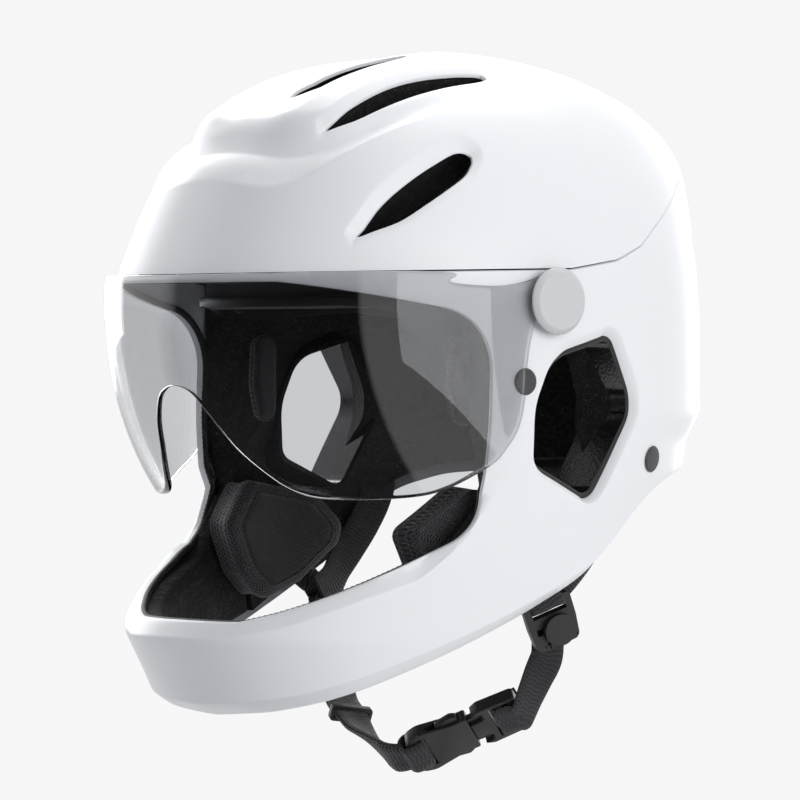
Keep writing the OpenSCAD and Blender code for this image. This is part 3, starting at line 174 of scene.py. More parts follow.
# Upper shell
# The crown is one injection moulding in gloss white ABS: a ledge round the crown with a valley
# inside it, a channel over the middle, and five leaf-shaped vents with bevelled rims.
MM = 0.001
shell_half_w, crown_top, brow_reach, chin_reach, rear_reach = 108.0, 157.0, 131.0, 134.0, 126.0
shell_t, seam_z, seam_rise, seam_gap, ledge_z = 2.6, 61.0, 50.0, 0.6, 101.0
dent_centre = np.array([0, 0, 40.0])
crown_mesh, lower_mesh = 2.2, 2.6
valley_depth, ledge_w, channel_depth, ledge_half_w = 5.5, 7.5, 7.0, 72.0
valley_rise_w, valley_end_y, valley_fade = 16, 5, 75
channel_half_w, channel_edge, channel_front_y, channel_end_y = 8, 32, -96, 10
widest_z, lower_taper, chin_depth = 55.0, 24.0, 132.0
crown_front, front_arc_z, rear_arc_z = 113.0, 88.0, 100.0
brow_z, chin_widest_z, front_power, rear_power, ledge_power, ledge_rear = 57.0, -92.0, 2.4, 2.15, 3.6, 95.0
chin_face = ((-134, -127, -122, -107, -92), (-27, -22, -15, -8, 0))
rear_face = ((-60, -36, -27, -13, -1, 40, 75, 100), (-36, -18, -9, -6.5, 3, 3.5, 0, 0))
seam_line = ((-90, 0, 14, 23, 30, 40, 49, 60, 75, 90),
             (0, 0.01, 0.08, 0.2, 0.36, 0.55, 0.73, 0.86, 0.96, 1))


def root(v):
    return np.sqrt(np.maximum(0, v))


def half_w(z, d=0):
    low = shell_half_w - d - lower_taper * (np.maximum(0, -z) / chin_depth) ** 1.3
    high = (shell_half_w - d) * root(1 - ((z - widest_z) / (crown_top - d - widest_z)) ** 2)
    return np.where(z < widest_z, low, high)


def front_arc(z, d=0):
    return (crown_front - d) * root(1 - ((z - front_arc_z) / (crown_top - d - front_arc_z)) ** 2)


def front_reach(z, d=0):
    top = front_arc(np.float64(ledge_z), d)
    brow = brow_reach - d + (top - brow_reach + d) * (z - brow_z) / (ledge_z - brow_z)
    face = chin_reach + (brow_reach - chin_reach) * (z - chin_widest_z) / (brow_z - chin_widest_z) - d
    chin = chin_reach + np.interp(z, *chin_face) - d
    below_ledge = np.where(z > brow_z, brow, np.where(z > chin_widest_z, face, chin))
    return np.where(z > ledge_z, front_arc(z, d), below_ledge)


def back_reach(z, d=0):
    arc = (rear_reach - d) * root(1 - ((z - rear_arc_z) / (crown_top - d - rear_arc_z)) ** 2)
    return np.where(z > rear_arc_z, arc, rear_reach + np.interp(z, *rear_face) - d)


def oval(a, w, l, n):
    across, along = np.abs(np.cos(a)) / np.maximum(w, 0.01), np.abs(np.sin(a)) / np.maximum(l, 0.01)
    return 1 / (across ** n + along ** n) ** (1 / n)


def skin_r(z, a, d=0):
    return np.where(np.sin(a) < 0, oval(a, half_w(z, d), front_reach(z, d), front_power),
                    oval(a, half_w(z, d), back_reach(z, d), rear_power))


def polar(r, a, z):
    return np.stack([r * np.cos(a), r * np.sin(a), z + 0 * r], -1)


def skin(z, a, d=0):
    return polar(skin_r(z, a, d), a, z)


def skin_x(y, z, d=0):
    n = np.where(y < 0, front_power, rear_power)
    reach = np.where(y < 0, front_reach(z, d), back_reach(z, d))
    return half_w(z, d) * np.maximum(0, 1 - (np.abs(y) / reach) ** n) ** (1 / n)


def dome_z(r, a, d=0):
    """Height of the skin at a distance from the middle, found by halving."""
    low, high = np.full_like(r, 50.0), np.full_like(r, crown_top)
    for _ in range(26):
        middle = (low + high) / 2
        out = skin_r(middle, a, d) > r
        low, high = np.where(out, middle, low), np.where(out, high, middle)
    return np.minimum((low + high) / 2, crown_top - d)


def fall(u, start, end):
    return (1 + np.cos(np.pi * np.clip((u - start) / (end - start), 0, 1))) / 2


def ledge_r(a):
    reach = np.where(np.sin(a) < 0, front_arc(np.float64(ledge_z)), ledge_rear)
    return oval(a, ledge_half_w, reach, ledge_power)


def valley(r, a):
    u, y = ledge_r(a) - r, r * np.sin(a)
    side_part = np.where(u < ledge_w, u / ledge_w, fall(u, ledge_w, ledge_w + valley_rise_w))
    side_part = valley_depth * np.maximum(0, side_part) * np.clip((valley_end_y - y) / valley_fade, 0, 1)
    middle_part = channel_depth * fall(np.abs(r * np.cos(a)), channel_half_w, channel_edge)
    front, end = np.clip((y - channel_front_y) / 20, 0, 1), np.clip((channel_end_y - y) / 60, 0, 1)
    return side_part + middle_part * front * end


def dome(r, a, d=0):
    rd = r * (1 - d / 110)
    p = polar(rd, a, dome_z(rd, a, d))
    v = p - dent_centre
    return p - v * (valley(r, a) / np.linalg.norm(v, axis=-1))[..., None]


def fold(a):
    return np.degrees(np.arcsin(np.clip(np.sin(a), -1, 1)))


def seam_at(a):
    return seam_z + seam_rise * np.interp(fold(a), *seam_line)


def spline(a, b, c, d, t):
    """The place at share t between b and c on a smooth curve through four points."""
    square = (2 * a - 5 * b + 4 * c - d) * t * t
    cube = (3 * b - a - 3 * c + d) * t ** 3
    return (2 * b + (c - a) * t + square + cube) / 2


def closed_curve(points, step):
    """Smooth closed line through points, resampled about every step."""
    p = np.array(points, float)
    n = len(p)
    out = []
    for i in range(n):
        a, b, c, d = p[i - 1], p[i], p[(i + 1) % n], p[(i + 2) % n]
        k = max(1, int(np.ceil(np.linalg.norm(c - b) / step)))
        out += [spline(a, b, c, d, t) for t in np.arange(k) / k]
    return np.array(out)


def run_along(line):
    """Distance along a line at each of its points."""
    return np.concatenate([[0], np.cumsum(np.linalg.norm(np.diff(line, axis=0), axis=1))])


def evened(points, step, closed=True):
    """A line resampled about every step."""
    p = np.array(points, float)
    q = np.concatenate([p, p[:1]]) if closed else p
    run = run_along(q)
    n = max(2, int(round(run[-1] / step)))
    at = np.linspace(0, run[-1], n + 1)
    out = np.stack([np.interp(at, run, q[:, i]) for i in range(q.shape[1])], 1)
    return out[:-1] if closed else out


def inside(points, loop):
    """Which points of the flat domain lie inside a closed line."""
    x, y = points[:, 0], points[:, 1]
    result = np.zeros(len(points), bool)
    for (x0, y0), (x1, y1) in zip(loop, np.roll(loop, -1, 0)):
        if y0 != y1:
            hit = (y0 > y) != (y1 > y)
            result ^= hit & (x < (x1 - x0) * (y - y0) / (y1 - y0) + x0)
    return result


def distance(points, loop, closed=True):
    """Distance of each point to a line, and the way to it from the line."""
    best = np.full(len(points), 1e9)
    way = np.zeros((len(points), 2))
    ends = np.roll(loop, -1, 0) if closed else loop[1:]
    for p, q in zip(loop, ends):
        e = q - p
        t = np.clip(((points - p) @ e) / max(e @ e, 1e-9), 0, 1)
        v = points - p - t[:, None] * e
        d = np.linalg.norm(v, axis=1)
        nearer = d < best
        best = np.where(nearer, d, best)
        way[nearer] = v[nearer]
    return best, way / np.maximum(best, 1e-9)[:, None]


def signed_area(loop):
    """Twice the area of a closed line, positive where it runs anticlockwise."""
    return np.sum(loop[:, 0] * np.roll(loop[:, 1], -1) - loop[:, 1] * np.roll(loop[:, 0], -1))


def unit_rows(v):
    return v / np.linalg.norm(v, axis=1)[:, None]


def grown(loop, by):
    """A closed line moved outwards."""
    e = np.roll(loop, -1, 0) - np.roll(loop, 1, 0)
    n = np.stack([e[:, 1], -e[:, 0]], 1) / np.maximum(np.linalg.norm(e, axis=1), 1e-9)[:, None]
    return loop + n * (by if signed_area(loop) > 0 else -by)


def flat_patch(outline, holes, lines, step):
    """Triangles that fill a flat outline round its holes, with edges along the given lines."""
    rows = np.arange(outline[:, 1].min(), outline[:, 1].max(), step * 0.866)
    grid = np.array([(x + (j % 2) * step / 2, y) for j, y in enumerate(rows)
                     for x in np.arange(outline[:, 0].min(), outline[:, 0].max(), step)])
    grid = grid[inside(grid, outline)]
    keep = np.ones(len(grid), bool)
    for loop in [outline] + holes:
        keep &= distance(grid, loop)[0] > step * 0.55
    for line, closed in lines:
        keep &= distance(grid, line, closed)[0] > step * 0.5
    for hole in holes:
        keep &= ~inside(grid, hole)
    points, edges = [], []
    for line, closed in [(outline, True)] + [(h, True) for h in holes] + lines:
        first = len(points)
        points += [tuple(p) for p in line]
        edges += [(first + i, first + i + 1) for i in range(len(line) - 1)]
        if closed:
            edges.append((len(points) - 1, first))
    points += [tuple(p) for p in grid[keep]]
    done = delaunay_2d_cdt([Vector(p) for p in points], edges, [], 0, 1e-5)
    flat = np.array([tuple(v) for v in done[0]])
    faces = np.array([f for f in done[2] if len(f) == 3])
    centres = flat[faces].mean(1)
    good = inside(centres, outline)
    for hole in holes:
        good &= ~inside(centres, hole)
    return flat, faces[good]


def walled(flat, faces, place, name, thickness):
    """A closed wall: the outer skin, the same skin moved inwards, and the edges between them."""
    used = np.unique(faces)
    renumber = np.full(len(flat), -1)
    renumber[used] = np.arange(len(used))
    flat, faces = flat[used], renumber[faces]
    outer, inner = place(flat, 0), place(flat, thickness)
    a, b, c = outer[faces[:, 0]], outer[faces[:, 1]], outer[faces[:, 2]]
    centre = np.array([0, 0, 30.0])
    if np.sum(np.cross(b - a, c - a) * (a - centre)) < 0:
        faces = faces[:, ::-1]
    n = len(flat)
    edges = dict.fromkeys((f[i], f[(i + 1) % 3]) for f in faces for i in range(3))
    rim = [(a, b) for a, b in edges if (b, a) not in edges]
    walls = [(b, a, a + n, b + n) for a, b in rim]
    both = [tuple(f) for f in faces] + [tuple(f[::-1] + n) for f in faces]
    return solid(name, np.concatenate([outer, inner]), both + walls)


def solid(name, points, faces, sharp=40):
    """A mesh object in metres from points in millimetres, shaded smooth up to a sharp angle."""
    mesh = bpy.data.meshes.new(name)
    places = [tuple(p) for p in np.asarray(points, float) * MM]
    mesh.from_pydata(places, [], [tuple(int(i) for i in f) for f in faces])
    mesh.validate()
    mesh.shade_smooth()
    mesh.set_sharp_from_angle(angle=math.radians(sharp))
    obj = bpy.data.objects.new(name, mesh)
    bpy.context.collection.objects.link(obj)
    return obj


def surface(name, **values):
    """A material with one Principled shader; its plain values are set on the shader's own sockets."""
    made = bpy.data.materials.new(name)
    tree = nodes_of(made)
    shader = add(tree, "BsdfPrincipled", {k.replace("_", " "): v for k, v in values.items()})
    add(tree, "OutputMaterial", {"Surface": shader.outputs[0]})
    return made, tree, shader


def bumped(tree, shader, height, strength, depth):
    bump = add(tree, "Bump", {"Height": height, "Strength": strength, "Distance": depth})
    tree.links.new(bump.outputs[0], shader.inputs["Normal"])


def noise(tree, here, scale, detail):
    return add(tree, "TexNoise", {"Vector": here, "Scale": scale, "Detail": detail}).outputs[0]


def mottled(tree, share, tone, low, high):
    """A tone that runs from low to high times itself."""
    ends = [(*[c * k for c in tone], 1) for k in (low, high)]
    return add(tree, "MixRGB", {0: share, 1: ends[0], 2: ends[1]}).outputs[0]


def white_gloss(name, tone):
    made, tree, shader = surface(name, Roughness=0.42, Coat_Weight=0.25, Coat_Roughness=0.22, IOR=1.45)
    here = add(tree, "TexCoord").outputs["Object"]
    tint = mottled(tree, noise(tree, here, 9.0, 3.0), tone, 0.985, 1.0)
    tree.links.new(tint, shader.inputs["Base Color"])
    bumped(tree, shader, noise(tree, here, 260.0, 2.0), 0.05, 0.0002)
    return made


shell_white = white_gloss("shell white", (0.80, 0.81, 0.825))
mid_vent_w, long_vent_x, long_vent_w, side_vent_w = 20.0, 53.0, 8.2, 11.0


def mid_vent_outline():
    w, front, rear = mid_vent_w, -70, -4
    half = [(w * 0.3, front + 8), (w * 0.46, front + 20), (w * 0.5, front + 34),
            (w * 0.46, rear - 14), (w * 0.3, rear - 4)]
    return [(0, front)] + half + [(0, rear)] + [(-x, y) for x, y in half[::-1]]


def long_vent_outline():
    x, w, front, rear = long_vent_x, long_vent_w, -85, 1
    return [(x - 6.8, front + 1.4), (x - 6.3, front), (x - 5.2, front + 0.6), (x + w * 0.08, -73),
            (x + w * 0.42, -58), (x + w * 0.5, -41), (x + w * 0.42, -23.5), (x + w * 0.24, -7),
            (x - 1, rear - 1), (x - 3.5, rear), (x - 6.6, rear - 2.5), (x - w * 0.5 - 2.6, -24),
            (x - w * 0.45 - 3.0, -46), (x - w * 0.38 - 2.6, -66), (x - w * 0.52 - 1.6, -78)]


def side_vent_outline():
    leaf = [(-1.5, -0.02), (3.2, 0.12), (9, 0.3), (16, 0.47), (33, 0.6), (48, 0.52), (58, 0.38), (62, 0.2),
            (63.4, 0), (63, -0.16), (59, -0.34), (50, -0.45), (32, -0.38), (15.5, -0.33), (3, -0.12)]
    start, end = np.array([-91.0, 77.0]), np.array([-38.0, 111.0])
    u = (end - start) / np.linalg.norm(end - start)
    v = np.array([-u[1], u[0]])
    return [start + u * a + v * b * side_vent_w for a, b in leaf]


def crown_top_at(a):
    return dome_z(ledge_r(a), a)


def on_crown(q, d, dents):
    """Point of the upper shell over its flat map: the crown inside the ledge, the sides outside it."""
    a, rho = np.arctan2(q[:, 1], q[:, 0]), np.linalg.norm(q, axis=1)
    edge, top = ledge_r(a), crown_top_at(a)
    side_z = top - np.maximum(rho - edge, 0)
    p = np.where((rho < edge)[:, None], dome(np.minimum(rho, edge), a, d), skin(side_z, a, d))
    v = p - dent_centre
    return p - v / np.linalg.norm(v, axis=1)[:, None] * dents(q)[:, None]


def crown_wall(q, d):
    """The crown's skins; the inner one rises towards the outer one at the vents."""
    if d:
        near = np.min([distance(q, loop)[0] for loop in vents], 0)
        outer, inner = on_crown(q, 0, vent_dents), on_crown(q, d, vent_dents)
        thin = 0.35 + 0.65 * np.clip(near / 4, 0, 1)[:, None]
        return outer + (inner - outer) * thin
    return on_crown(q, 0, vent_dents)


def side_map(points, s):
    """Flat map of points given as Y, Z on the side s of the upper shell."""
    p = np.array(points, float)
    x = skin_x(p[:, 0], p[:, 1])
    a = np.arctan2(p[:, 0], x)
    rho = ledge_r(a) + crown_top_at(a) - p[:, 1]
    return np.stack([s * rho * np.cos(a), rho * np.sin(a)], 1)


angles = np.radians(np.arange(0, 360, 0.75))
edge = ledge_r(angles)
low_rim = edge + crown_top_at(angles) - seam_at(angles) - seam_gap / 2
ring = lambda r: np.stack([r * np.cos(angles), r * np.sin(angles)], 1)
vents = [closed_curve(mid_vent_outline(), 1.5)]
for s in (1, -1):
    vents.append(closed_curve([(s * x, y) for x, y in long_vent_outline()], 1.5))
    vents.append(closed_curve(side_map(side_vent_outline(), s), 1.5))
rim_w = (2.2, 5.0, 5.6, 5.0, 5.6)
rim_d = (0.4, 2.2, 3.0, 2.2, 3.0)
near_vent, near_port = 70, 80


def rim_width(loop, way, w, number):
    """The rim is widest on a vent's side towards the middle of the crown and narrowest opposite."""
    c = loop.mean(0)
    inner = np.clip(0.55 - 0.6 * way @ (c / max(1, np.linalg.norm(c))), 0, 1)
    return w * (0.42 + 0.58 * inner) if number else np.full(len(way), w)


def normals_of(loop):
    return unit_rows(grown(loop, 1.0) - loop)


def facing(q, loop):
    """Distance of each point to a closed line, and the line's own outward direction nearest to it."""
    close = ((q[:, None] - loop[None]) ** 2).sum(2).argmin(1)
    return distance(q, loop)[0], normals_of(loop)[close]


def vent_dents(q):
    deep = np.zeros(len(q))
    for loop, w, depth, number in zip(vents, rim_w, rim_d, range(5)):
        near = np.abs(q - loop.mean(0)).max(1) < near_vent
        t, way = facing(q[near], loop)
        width = rim_width(loop, way, w, number)
        slope = depth * (width / w) * np.clip(1 - t / width, 0, 1)
        lip = 0.5 - root(0.25 - np.clip(0.5 - t, 0, 0.5) ** 2)
        deep[near] = np.maximum(deep[near], slope + lip)
    return deep


def rim_lines(loop, width):
    """Lines along the inner and the outer edge of a rim, so that both stay crisp."""
    n = normals_of(loop)
    lines = [loop + n * k for k in (0.3, 0.7)] + [loop + n * (width + k)[:, None] for k in (-0.35, 0.35)]
    return [(evened(line, 1.5), True) for line in lines]


lines = [(ring(edge + k), True) for k in (-24.2, -8.2, -7.5, -6.8, -0.7, 0, 0.7)]
for loop, w, number in zip(vents, rim_w, range(5)):
    lines += rim_lines(loop, rim_width(loop, normals_of(loop), w, number))
flat, faces = flat_patch(ring(low_rim), vents, lines, crown_mesh)
shell_upper = walled(flat, faces, crown_wall, "shell_upper", shell_t)
shell_upper.data.materials.append(shell_white)
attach(shell_upper, "helmet")
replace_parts(shell_upper, "upper_shell")

# Lower shell
# The sides, the back and the chin bar are a second gloss white moulding, open at the face and
# at both ears. The chin bar has a chamfer along its upper and lower edge, the ear ports a bevel,
# and two exhaust slots sit high at the back.
chamfer_h, chamfer_d, eye_top_z, eye_rear_y = 7.0, 4.5, 57.5, -42.0
bottom_line = ((-90, -72, -61, -52, -38, -8, 5, 13, 18, 25, 33, 45, 60, 90),
               (-125.5, -123, -119, -114, -104, -83, -73, -65.5, -57.5, -46, -36.5, -30, -28, -27))
chin_top_line = ((-90, -76, -64, -49, -38, -32, -27, -24, -20, 10, 60, 90),
                 (-84.5, -84.5, -79.5, -68, -60.5, -51.5, -43, -34, -26, -18, -8, -4))
eye_port = ((-220, eye_top_z, 0), (-118, eye_top_z, 25), (eye_rear_y + 1, eye_top_z - 16.2, 26),
            (eye_rear_y - 2.8, -47, 22), (-128, -84.3, 30), (-220, -85.5, 0))
ear_port = ((-10.5, 25.5, 20), (24, 34.3, 7), (39.7, 3, 17), (14, -38, 8), (-20, -21.5, 9), (-20.7, 3, 30))
exhaust = ((40, 62, 3), (72, 70, 3), (71, 77, 3), (40, 70, 3))


def softened(xs, ys, a, width=3.0):
    """A table read with its corners rounded off."""
    return sum(np.interp(a + k * width, xs, ys) for k in (-1, -0.5, 0, 0.5, 1)) / 5


def bottom_at(a):
    return softened(*bottom_line, fold(a))


def chin_top_at(a):
    return softened(*chin_top_line, fold(a), 1.5)


def rounded(corners, steps=8):
    """Outline with round corners; each corner is two places and a radius."""
    out = []
    for i, (u, v, r) in enumerate(corners):
        here = np.array([u, v], float)
        back = np.array(corners[i - 1][:2], float) - here
        ahead = np.array(corners[(i + 1) % len(corners)][:2], float) - here
        back, ahead = back / np.linalg.norm(back), ahead / np.linalg.norm(ahead)
        if r == 0 or np.linalg.norm(back + ahead) < 0.05:
            out.append(here)
            continue
        half = math.acos(np.clip(back @ ahead, -1, 1)) / 2
        middle = (back + ahead) / np.linalg.norm(back + ahead)
        centre, sweep = here + middle * (r / math.sin(half)), math.pi / 2 - half
        way = 1 if back[0] * ahead[1] - back[1] * ahead[0] > 0 else -1
        for k in range(steps + 1):
            t = way * (sweep - 2 * sweep * k / steps)
            out.append(centre - r * np.array([middle[0] * math.cos(t) - middle[1] * math.sin(t),
                                              middle[0] * math.sin(t) + middle[1] * math.cos(t)]))
    return np.array(out)


degree = 1.9
way_at = lambda yz: np.degrees(np.arctan2(yz[:, 0], skin_x(yz[:, 0], yz[:, 1])))
lower_face = lambda yz: np.stack([way_at(yz) * degree, yz[:, 1]], 1)
other_side = lambda q: np.stack([-180 * degree - q[:, 0], q[:, 1]], 1)


def lower_inset(a, z):
    front = np.clip((-18 - fold(a)) / 9, 0, 1)
    b, c = bottom_at(a), chin_top_at(a)
    low = np.clip((b + 5 - z) / 5, 0, 1)
    high = np.where(z < c, np.clip((z - c + chamfer_h) / chamfer_h, 0, 1), np.clip(1 - (z - c) / 8, 0, 1))
    return chamfer_d * np.maximum(low, high * front)


def on_lower(q, d, dents):
    a, z = np.radians(q[:, 0] / degree), q[:, 1]
    return skin(z, a, d + lower_inset(a, z) + dents(q))


# The eye port's lower edge runs straight, in Y and Z, from the jaw to the front of the chin bar
jaw_y, jaw_z, front_y, front_z = -44.8, -47, -128, -84.3
rear = [p for p in rounded(eye_port, 14) if p[0] > -117]
rear = lower_face(evened(rear, 2.0, False))
chin_run = np.linspace(rear[-1, 0], -90 * degree, 34)[1:]
chin_z = np.full(len(chin_run), -84.0)
for _ in range(6):
    y = skin_r(chin_z, np.radians(chin_run / degree)) * np.sin(np.radians(chin_run / degree))
    chin_z = jaw_z + (y - jaw_y) * (front_z - jaw_z) / (front_y - jaw_y)
chin_z = np.maximum(chin_z, -84.4)
left_half = np.concatenate([[[-90 * degree, eye_top_z]],
                            np.stack([np.linspace(-90 * degree, rear[0, 0], 34)[1:-1],
                                      np.full(32, eye_top_z)], 1),
                            rear, np.stack([chin_run, chin_z], 1)])
eye_loop = evened(np.concatenate([left_half, other_side(left_half)[::-1][1:-1]]), 2.0)
ear_left = evened(lower_face(evened(rounded(ear_port), 1.4)), 1.5)
slot_outline = rounded(exhaust)
slot_share = (slot_outline[:, 0] / half_w(slot_outline[:, 1])) ** rear_power
slot_y = back_reach(slot_outline[:, 1]) * (1 - slot_share) ** (1 / rear_power)
slot_left = np.stack([np.degrees(np.arctan2(slot_y, slot_outline[:, 0])) * degree, slot_outline[:, 1]], 1)
slot_left = evened(slot_left, 1.2)
holes = [eye_loop, ear_left, other_side(ear_left)[::-1], slot_left]
holes.append(other_side(slot_left)[::-1])
port_depth = 3.8


def port_width(way):
    """Width of the bevel at an ear port: wide above, narrow elsewhere."""
    return 2.0 + 1.8 * np.clip(way[:, 1], 0, 1)


def port_fade(way, s):
    """Share of its depth that is left, down to a tenth towards the face."""
    return 1 - 0.9 * np.clip(-way[:, 0] * s * 1.2 + 0.1, 0, 1)


def lower_dents(q):
    deep = np.zeros(len(q))
    for loop in holes:
        t = distance(q, loop)[0]
        deep = np.maximum(deep, 1.0 - root(1.0 - np.clip(1.0 - t, 0, 1) ** 2))
    for loop, s in ((holes[1], 1), (holes[2], -1)):
        near = np.abs(q - loop.mean(0)).max(1) < near_port
        t, way = facing(q[near], loop)
        width = port_width(way)
        deep[near] = np.maximum(deep[near], port_depth * port_fade(way, s) * np.clip(1 - t / width, 0, 1))
    a = np.radians(q[:, 0] / degree)
    t = np.minimum(seam_at(a) - seam_gap / 2 - q[:, 1], q[:, 1] - bottom_at(a))
    return np.maximum(deep, 0.6 - root(0.36 - np.clip(0.6 - t, 0, 0.6) ** 2))


across = np.arange(-270, 90.01, 1.0)
arc = np.radians(across)
band = lambda z, far=across: np.stack([far * degree, z], 1)
top_edge, low_edge = band(seam_at(arc) - seam_gap / 2), band(bottom_at(arc))
ends_z = np.linspace(low_edge[0, 1], top_edge[0, 1], 60)[1:-1]
outline = np.concatenate([low_edge, band(ends_z, np.full(58, 90.0)), top_edge[::-1],
                          band(ends_z[::-1], np.full(58, -270.0))])
chin_arc = (across > -152) & (across < -28)
lines = [(band(bottom_at(arc) + k), False) for k in (0.5, 4.4, 5.0, 5.6)]
lines += [(band(seam_at(arc) - seam_gap / 2 - 0.5), False)]
lines += [(band(chin_top_at(arc) - chamfer_h + k)[chin_arc], False) for k in (-0.6, 0, 0.6)]
lines += [(grown(h, 0.4), True) for h in holes] + [(grown(h, 1.0), True) for h in holes]
for h in holes[1:3]:
    lines += rim_lines(h, port_width(normals_of(h)))[2:]
# Lines stay inside the patch and out of the holes
keep = []
for line, closed in lines:
    ok = inside(line, outline)
    for h in holes:
        ok &= ~inside(line, h) & (distance(line, h)[0] > 0.3)
    if closed and ok.all():
        keep.append((line, True))
        continue
    cut = np.flatnonzero(np.diff(np.concatenate([[0], ok.astype(int), [0]])))
    keep += [(line[i:j], False) for i, j in zip(cut[::2], cut[1::2]) if j - i > 1]
flat, faces = flat_patch(outline, holes, keep, lower_mesh)
shell_lower = walled(flat, faces, lambda q, d: on_lower(q, d, lower_dents), "shell_lower", shell_t)

# The patch's two ends meet at the middle of the back
whole = shell_lower.data
joined = bmesh.new()
joined.from_mesh(whole)
bmesh.ops.remove_doubles(joined, verts=joined.verts, dist=0.00002)
twice = [f for f in joined.faces if all(abs(v.co.x) < 0.00003 and v.co.y > 0 for v in f.verts)]
bmesh.ops.delete(joined, geom=twice, context="FACES")
joined.to_mesh(whole)
joined.free()
whole.shade_smooth()
whole.set_sharp_from_angle(angle=math.radians(40))
shell_lower.data.materials.append(shell_white)
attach(shell_lower, "helmet")
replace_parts(shell_lower, "lower_shell")

# Foam liner
# Black expanded foam in three blocks: the crown, the sides with the back, and the chin bar.
# The moulded skin shows pressed beads; the blocks are bonded to the shells a gap away from them.
head_half_w, head_reach, head_top, cavity_power, cavity_widest_z = 77.0, 98.0, 128.0, 2.2, 55.0
cheek_foam_t, chin_foam_t, liner_gap, seat_gap, pillar_a, foam_mesh = 9.0, 13.0, 0.7, 0.3, -22.0, 3.6


def bead_foam(name, dark, pale):
    made, tree, shader = surface(name, Roughness=0.82, Specular_IOR_Level=0.35)
    here = add(tree, "TexCoord").outputs["Object"]
    beads = add(tree, "TexVoronoi", {"Vector": here, "Scale": 330.0})
    fleck = math_node(tree, "GREATER_THAN", noise(tree, here, 1500.0, 2.0), 0.63)
    tint = add(tree, "MixRGB", {0: fleck, 1: (*dark, 1), 2: (*pale, 1)})
    plain = add(tree, "RGBToBW", {0: beads.outputs["Color"]}).outputs[0]
    shade = add(tree, "MixRGB", {0: 0.5, 1: tint.outputs[0], 2: plain}, blend_type="MULTIPLY")
    tree.links.new(shade.outputs[0], shader.inputs["Base Color"])
    bumped(tree, shader, beads.outputs["Distance"], 0.7, 0.0006)
    return made


foam_black = bead_foam("bead foam", (0.012, 0.012, 0.013), (0.07, 0.07, 0.072))
no_dents = lambda q: np.zeros(len(q))


def cavity_dome(z):
    return root(1 - (np.maximum(0, z - cavity_widest_z) / (head_top - cavity_widest_z)) ** 2)


def cavity_w(z):
    t = np.clip((-5 - z) / 25, 0, 1)
    low = head_half_w * (1 - t) + half_w(z, shell_t + seat_gap + cheek_foam_t) * t
    return np.where(z < cavity_widest_z, low, head_half_w * cavity_dome(z))


def cavity_l(z):
    return head_reach * cavity_dome(z)


def cavity_x(y, z):
    return cavity_w(z) * np.maximum(0, 1 - (np.abs(y) / cavity_l(z)) ** cavity_power) ** (1 / cavity_power)


def cavity(z, a, d=0):
    return polar(oval(a, cavity_w(z) - d, cavity_l(z) - d, cavity_power), a, z)


def cavity_z(x, y):
    across, along = np.abs(x) / head_half_w, np.abs(y) / head_reach
    q = (across ** cavity_power + along ** cavity_power) ** (1 / cavity_power)
    return cavity_widest_z + (head_top - cavity_widest_z) * root(1 - q * q)


def to_cavity(p):
    """The place on the head cavity's wall that each outer point looks at."""
    c = np.stack([0 * p[:, 0], 0 * p[:, 0], np.minimum(p[:, 2], 40)], 1)
    low, high = np.full(len(p), 0.05), np.full(len(p), 1.0)
    for _ in range(24):
        t = (low + high) / 2
        q = c + (p - c) * t[:, None]
        out = (np.abs(q[:, 0]) / np.maximum(cavity_w(q[:, 2]), 0.01)) ** cavity_power
        out = out + (np.abs(q[:, 1]) / np.maximum(cavity_l(q[:, 2]), 0.01)) ** cavity_power > 1
        low, high = np.where(out, low, t), np.where(out, t, high)
    return c + (p - c) * t[:, None]


foam_d = shell_t + liner_gap + 1.1
foam_step = 2.2
foam_dents = lambda q: np.maximum(0, vent_dents(q) - foam_step)
flat, faces = flat_patch(ring(low_rim - 0.6), [evened(grown(v, 0.4), 2.0) for v in vents], [], foam_mesh)
crown_inside = lambda q: to_cavity(on_crown(q, foam_d, no_dents))
crown_foam = walled(flat, faces, lambda q, d: crown_inside(q) if d else on_crown(q, foam_d, foam_dents),
                    "foam_crown", 1)
crown_foam.data.materials.append(foam_black)
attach(crown_foam, "helmet")
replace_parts(crown_foam, "crown_liner")

wide = np.radians(np.arange(pillar_a, 180 - pillar_a + 0.1, 1.5))
low_edge = np.stack([np.degrees(wide) * degree, bottom_at(wide) + 5], 1)
top_edge = np.stack([np.degrees(wide) * degree, seam_at(wide) - seam_gap / 2], 1)
pillar_z = np.linspace(low_edge[0, 1], top_edge[0, 1], 50)[1:-1]
outline = np.concatenate([low_edge, np.stack([np.full(48, low_edge[-1, 0]), pillar_z], 1), top_edge[::-1],
                          np.stack([np.full(48, low_edge[0, 0]), pillar_z[::-1]], 1)])
around = lambda q: np.stack([180 * degree - q[:, 0], q[:, 1]], 1)[::-1]
ports = [evened(grown(ear_left, 2.6), 2.2), evened(grown(slot_left, 0.3), 2.2)]
flat, faces = flat_patch(outline, ports + [around(h) for h in ports], [], foam_mesh)


def side_skin(q):
    a = np.radians(q[:, 0] / degree)
    d = shell_t + liner_gap + 1.3 * np.clip(1 - np.abs(fold(a) - pillar_a) / 3, 0, 1)
    return skin(q[:, 1], a, d + lower_inset(a, q[:, 1]))


side_foam = walled(flat, faces, lambda q, d: to_cavity(side_skin(q)) if d else side_skin(q),
                   "foam_sides", 1)
side_foam.data.materials.append(foam_black)
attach(side_foam, "helmet")
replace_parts(side_foam, "lower_liner")


def grid_faces(n, m, loop=False):
    """Quads between n rings of m points; with loop, the last ring joins the first."""
    return [(i * m + j, i * m + (j + 1) % m, (i + 1) % n * m + (j + 1) % m, (i + 1) % n * m + j)
            for i in range(n if loop else n - 1) for j in range(m)]


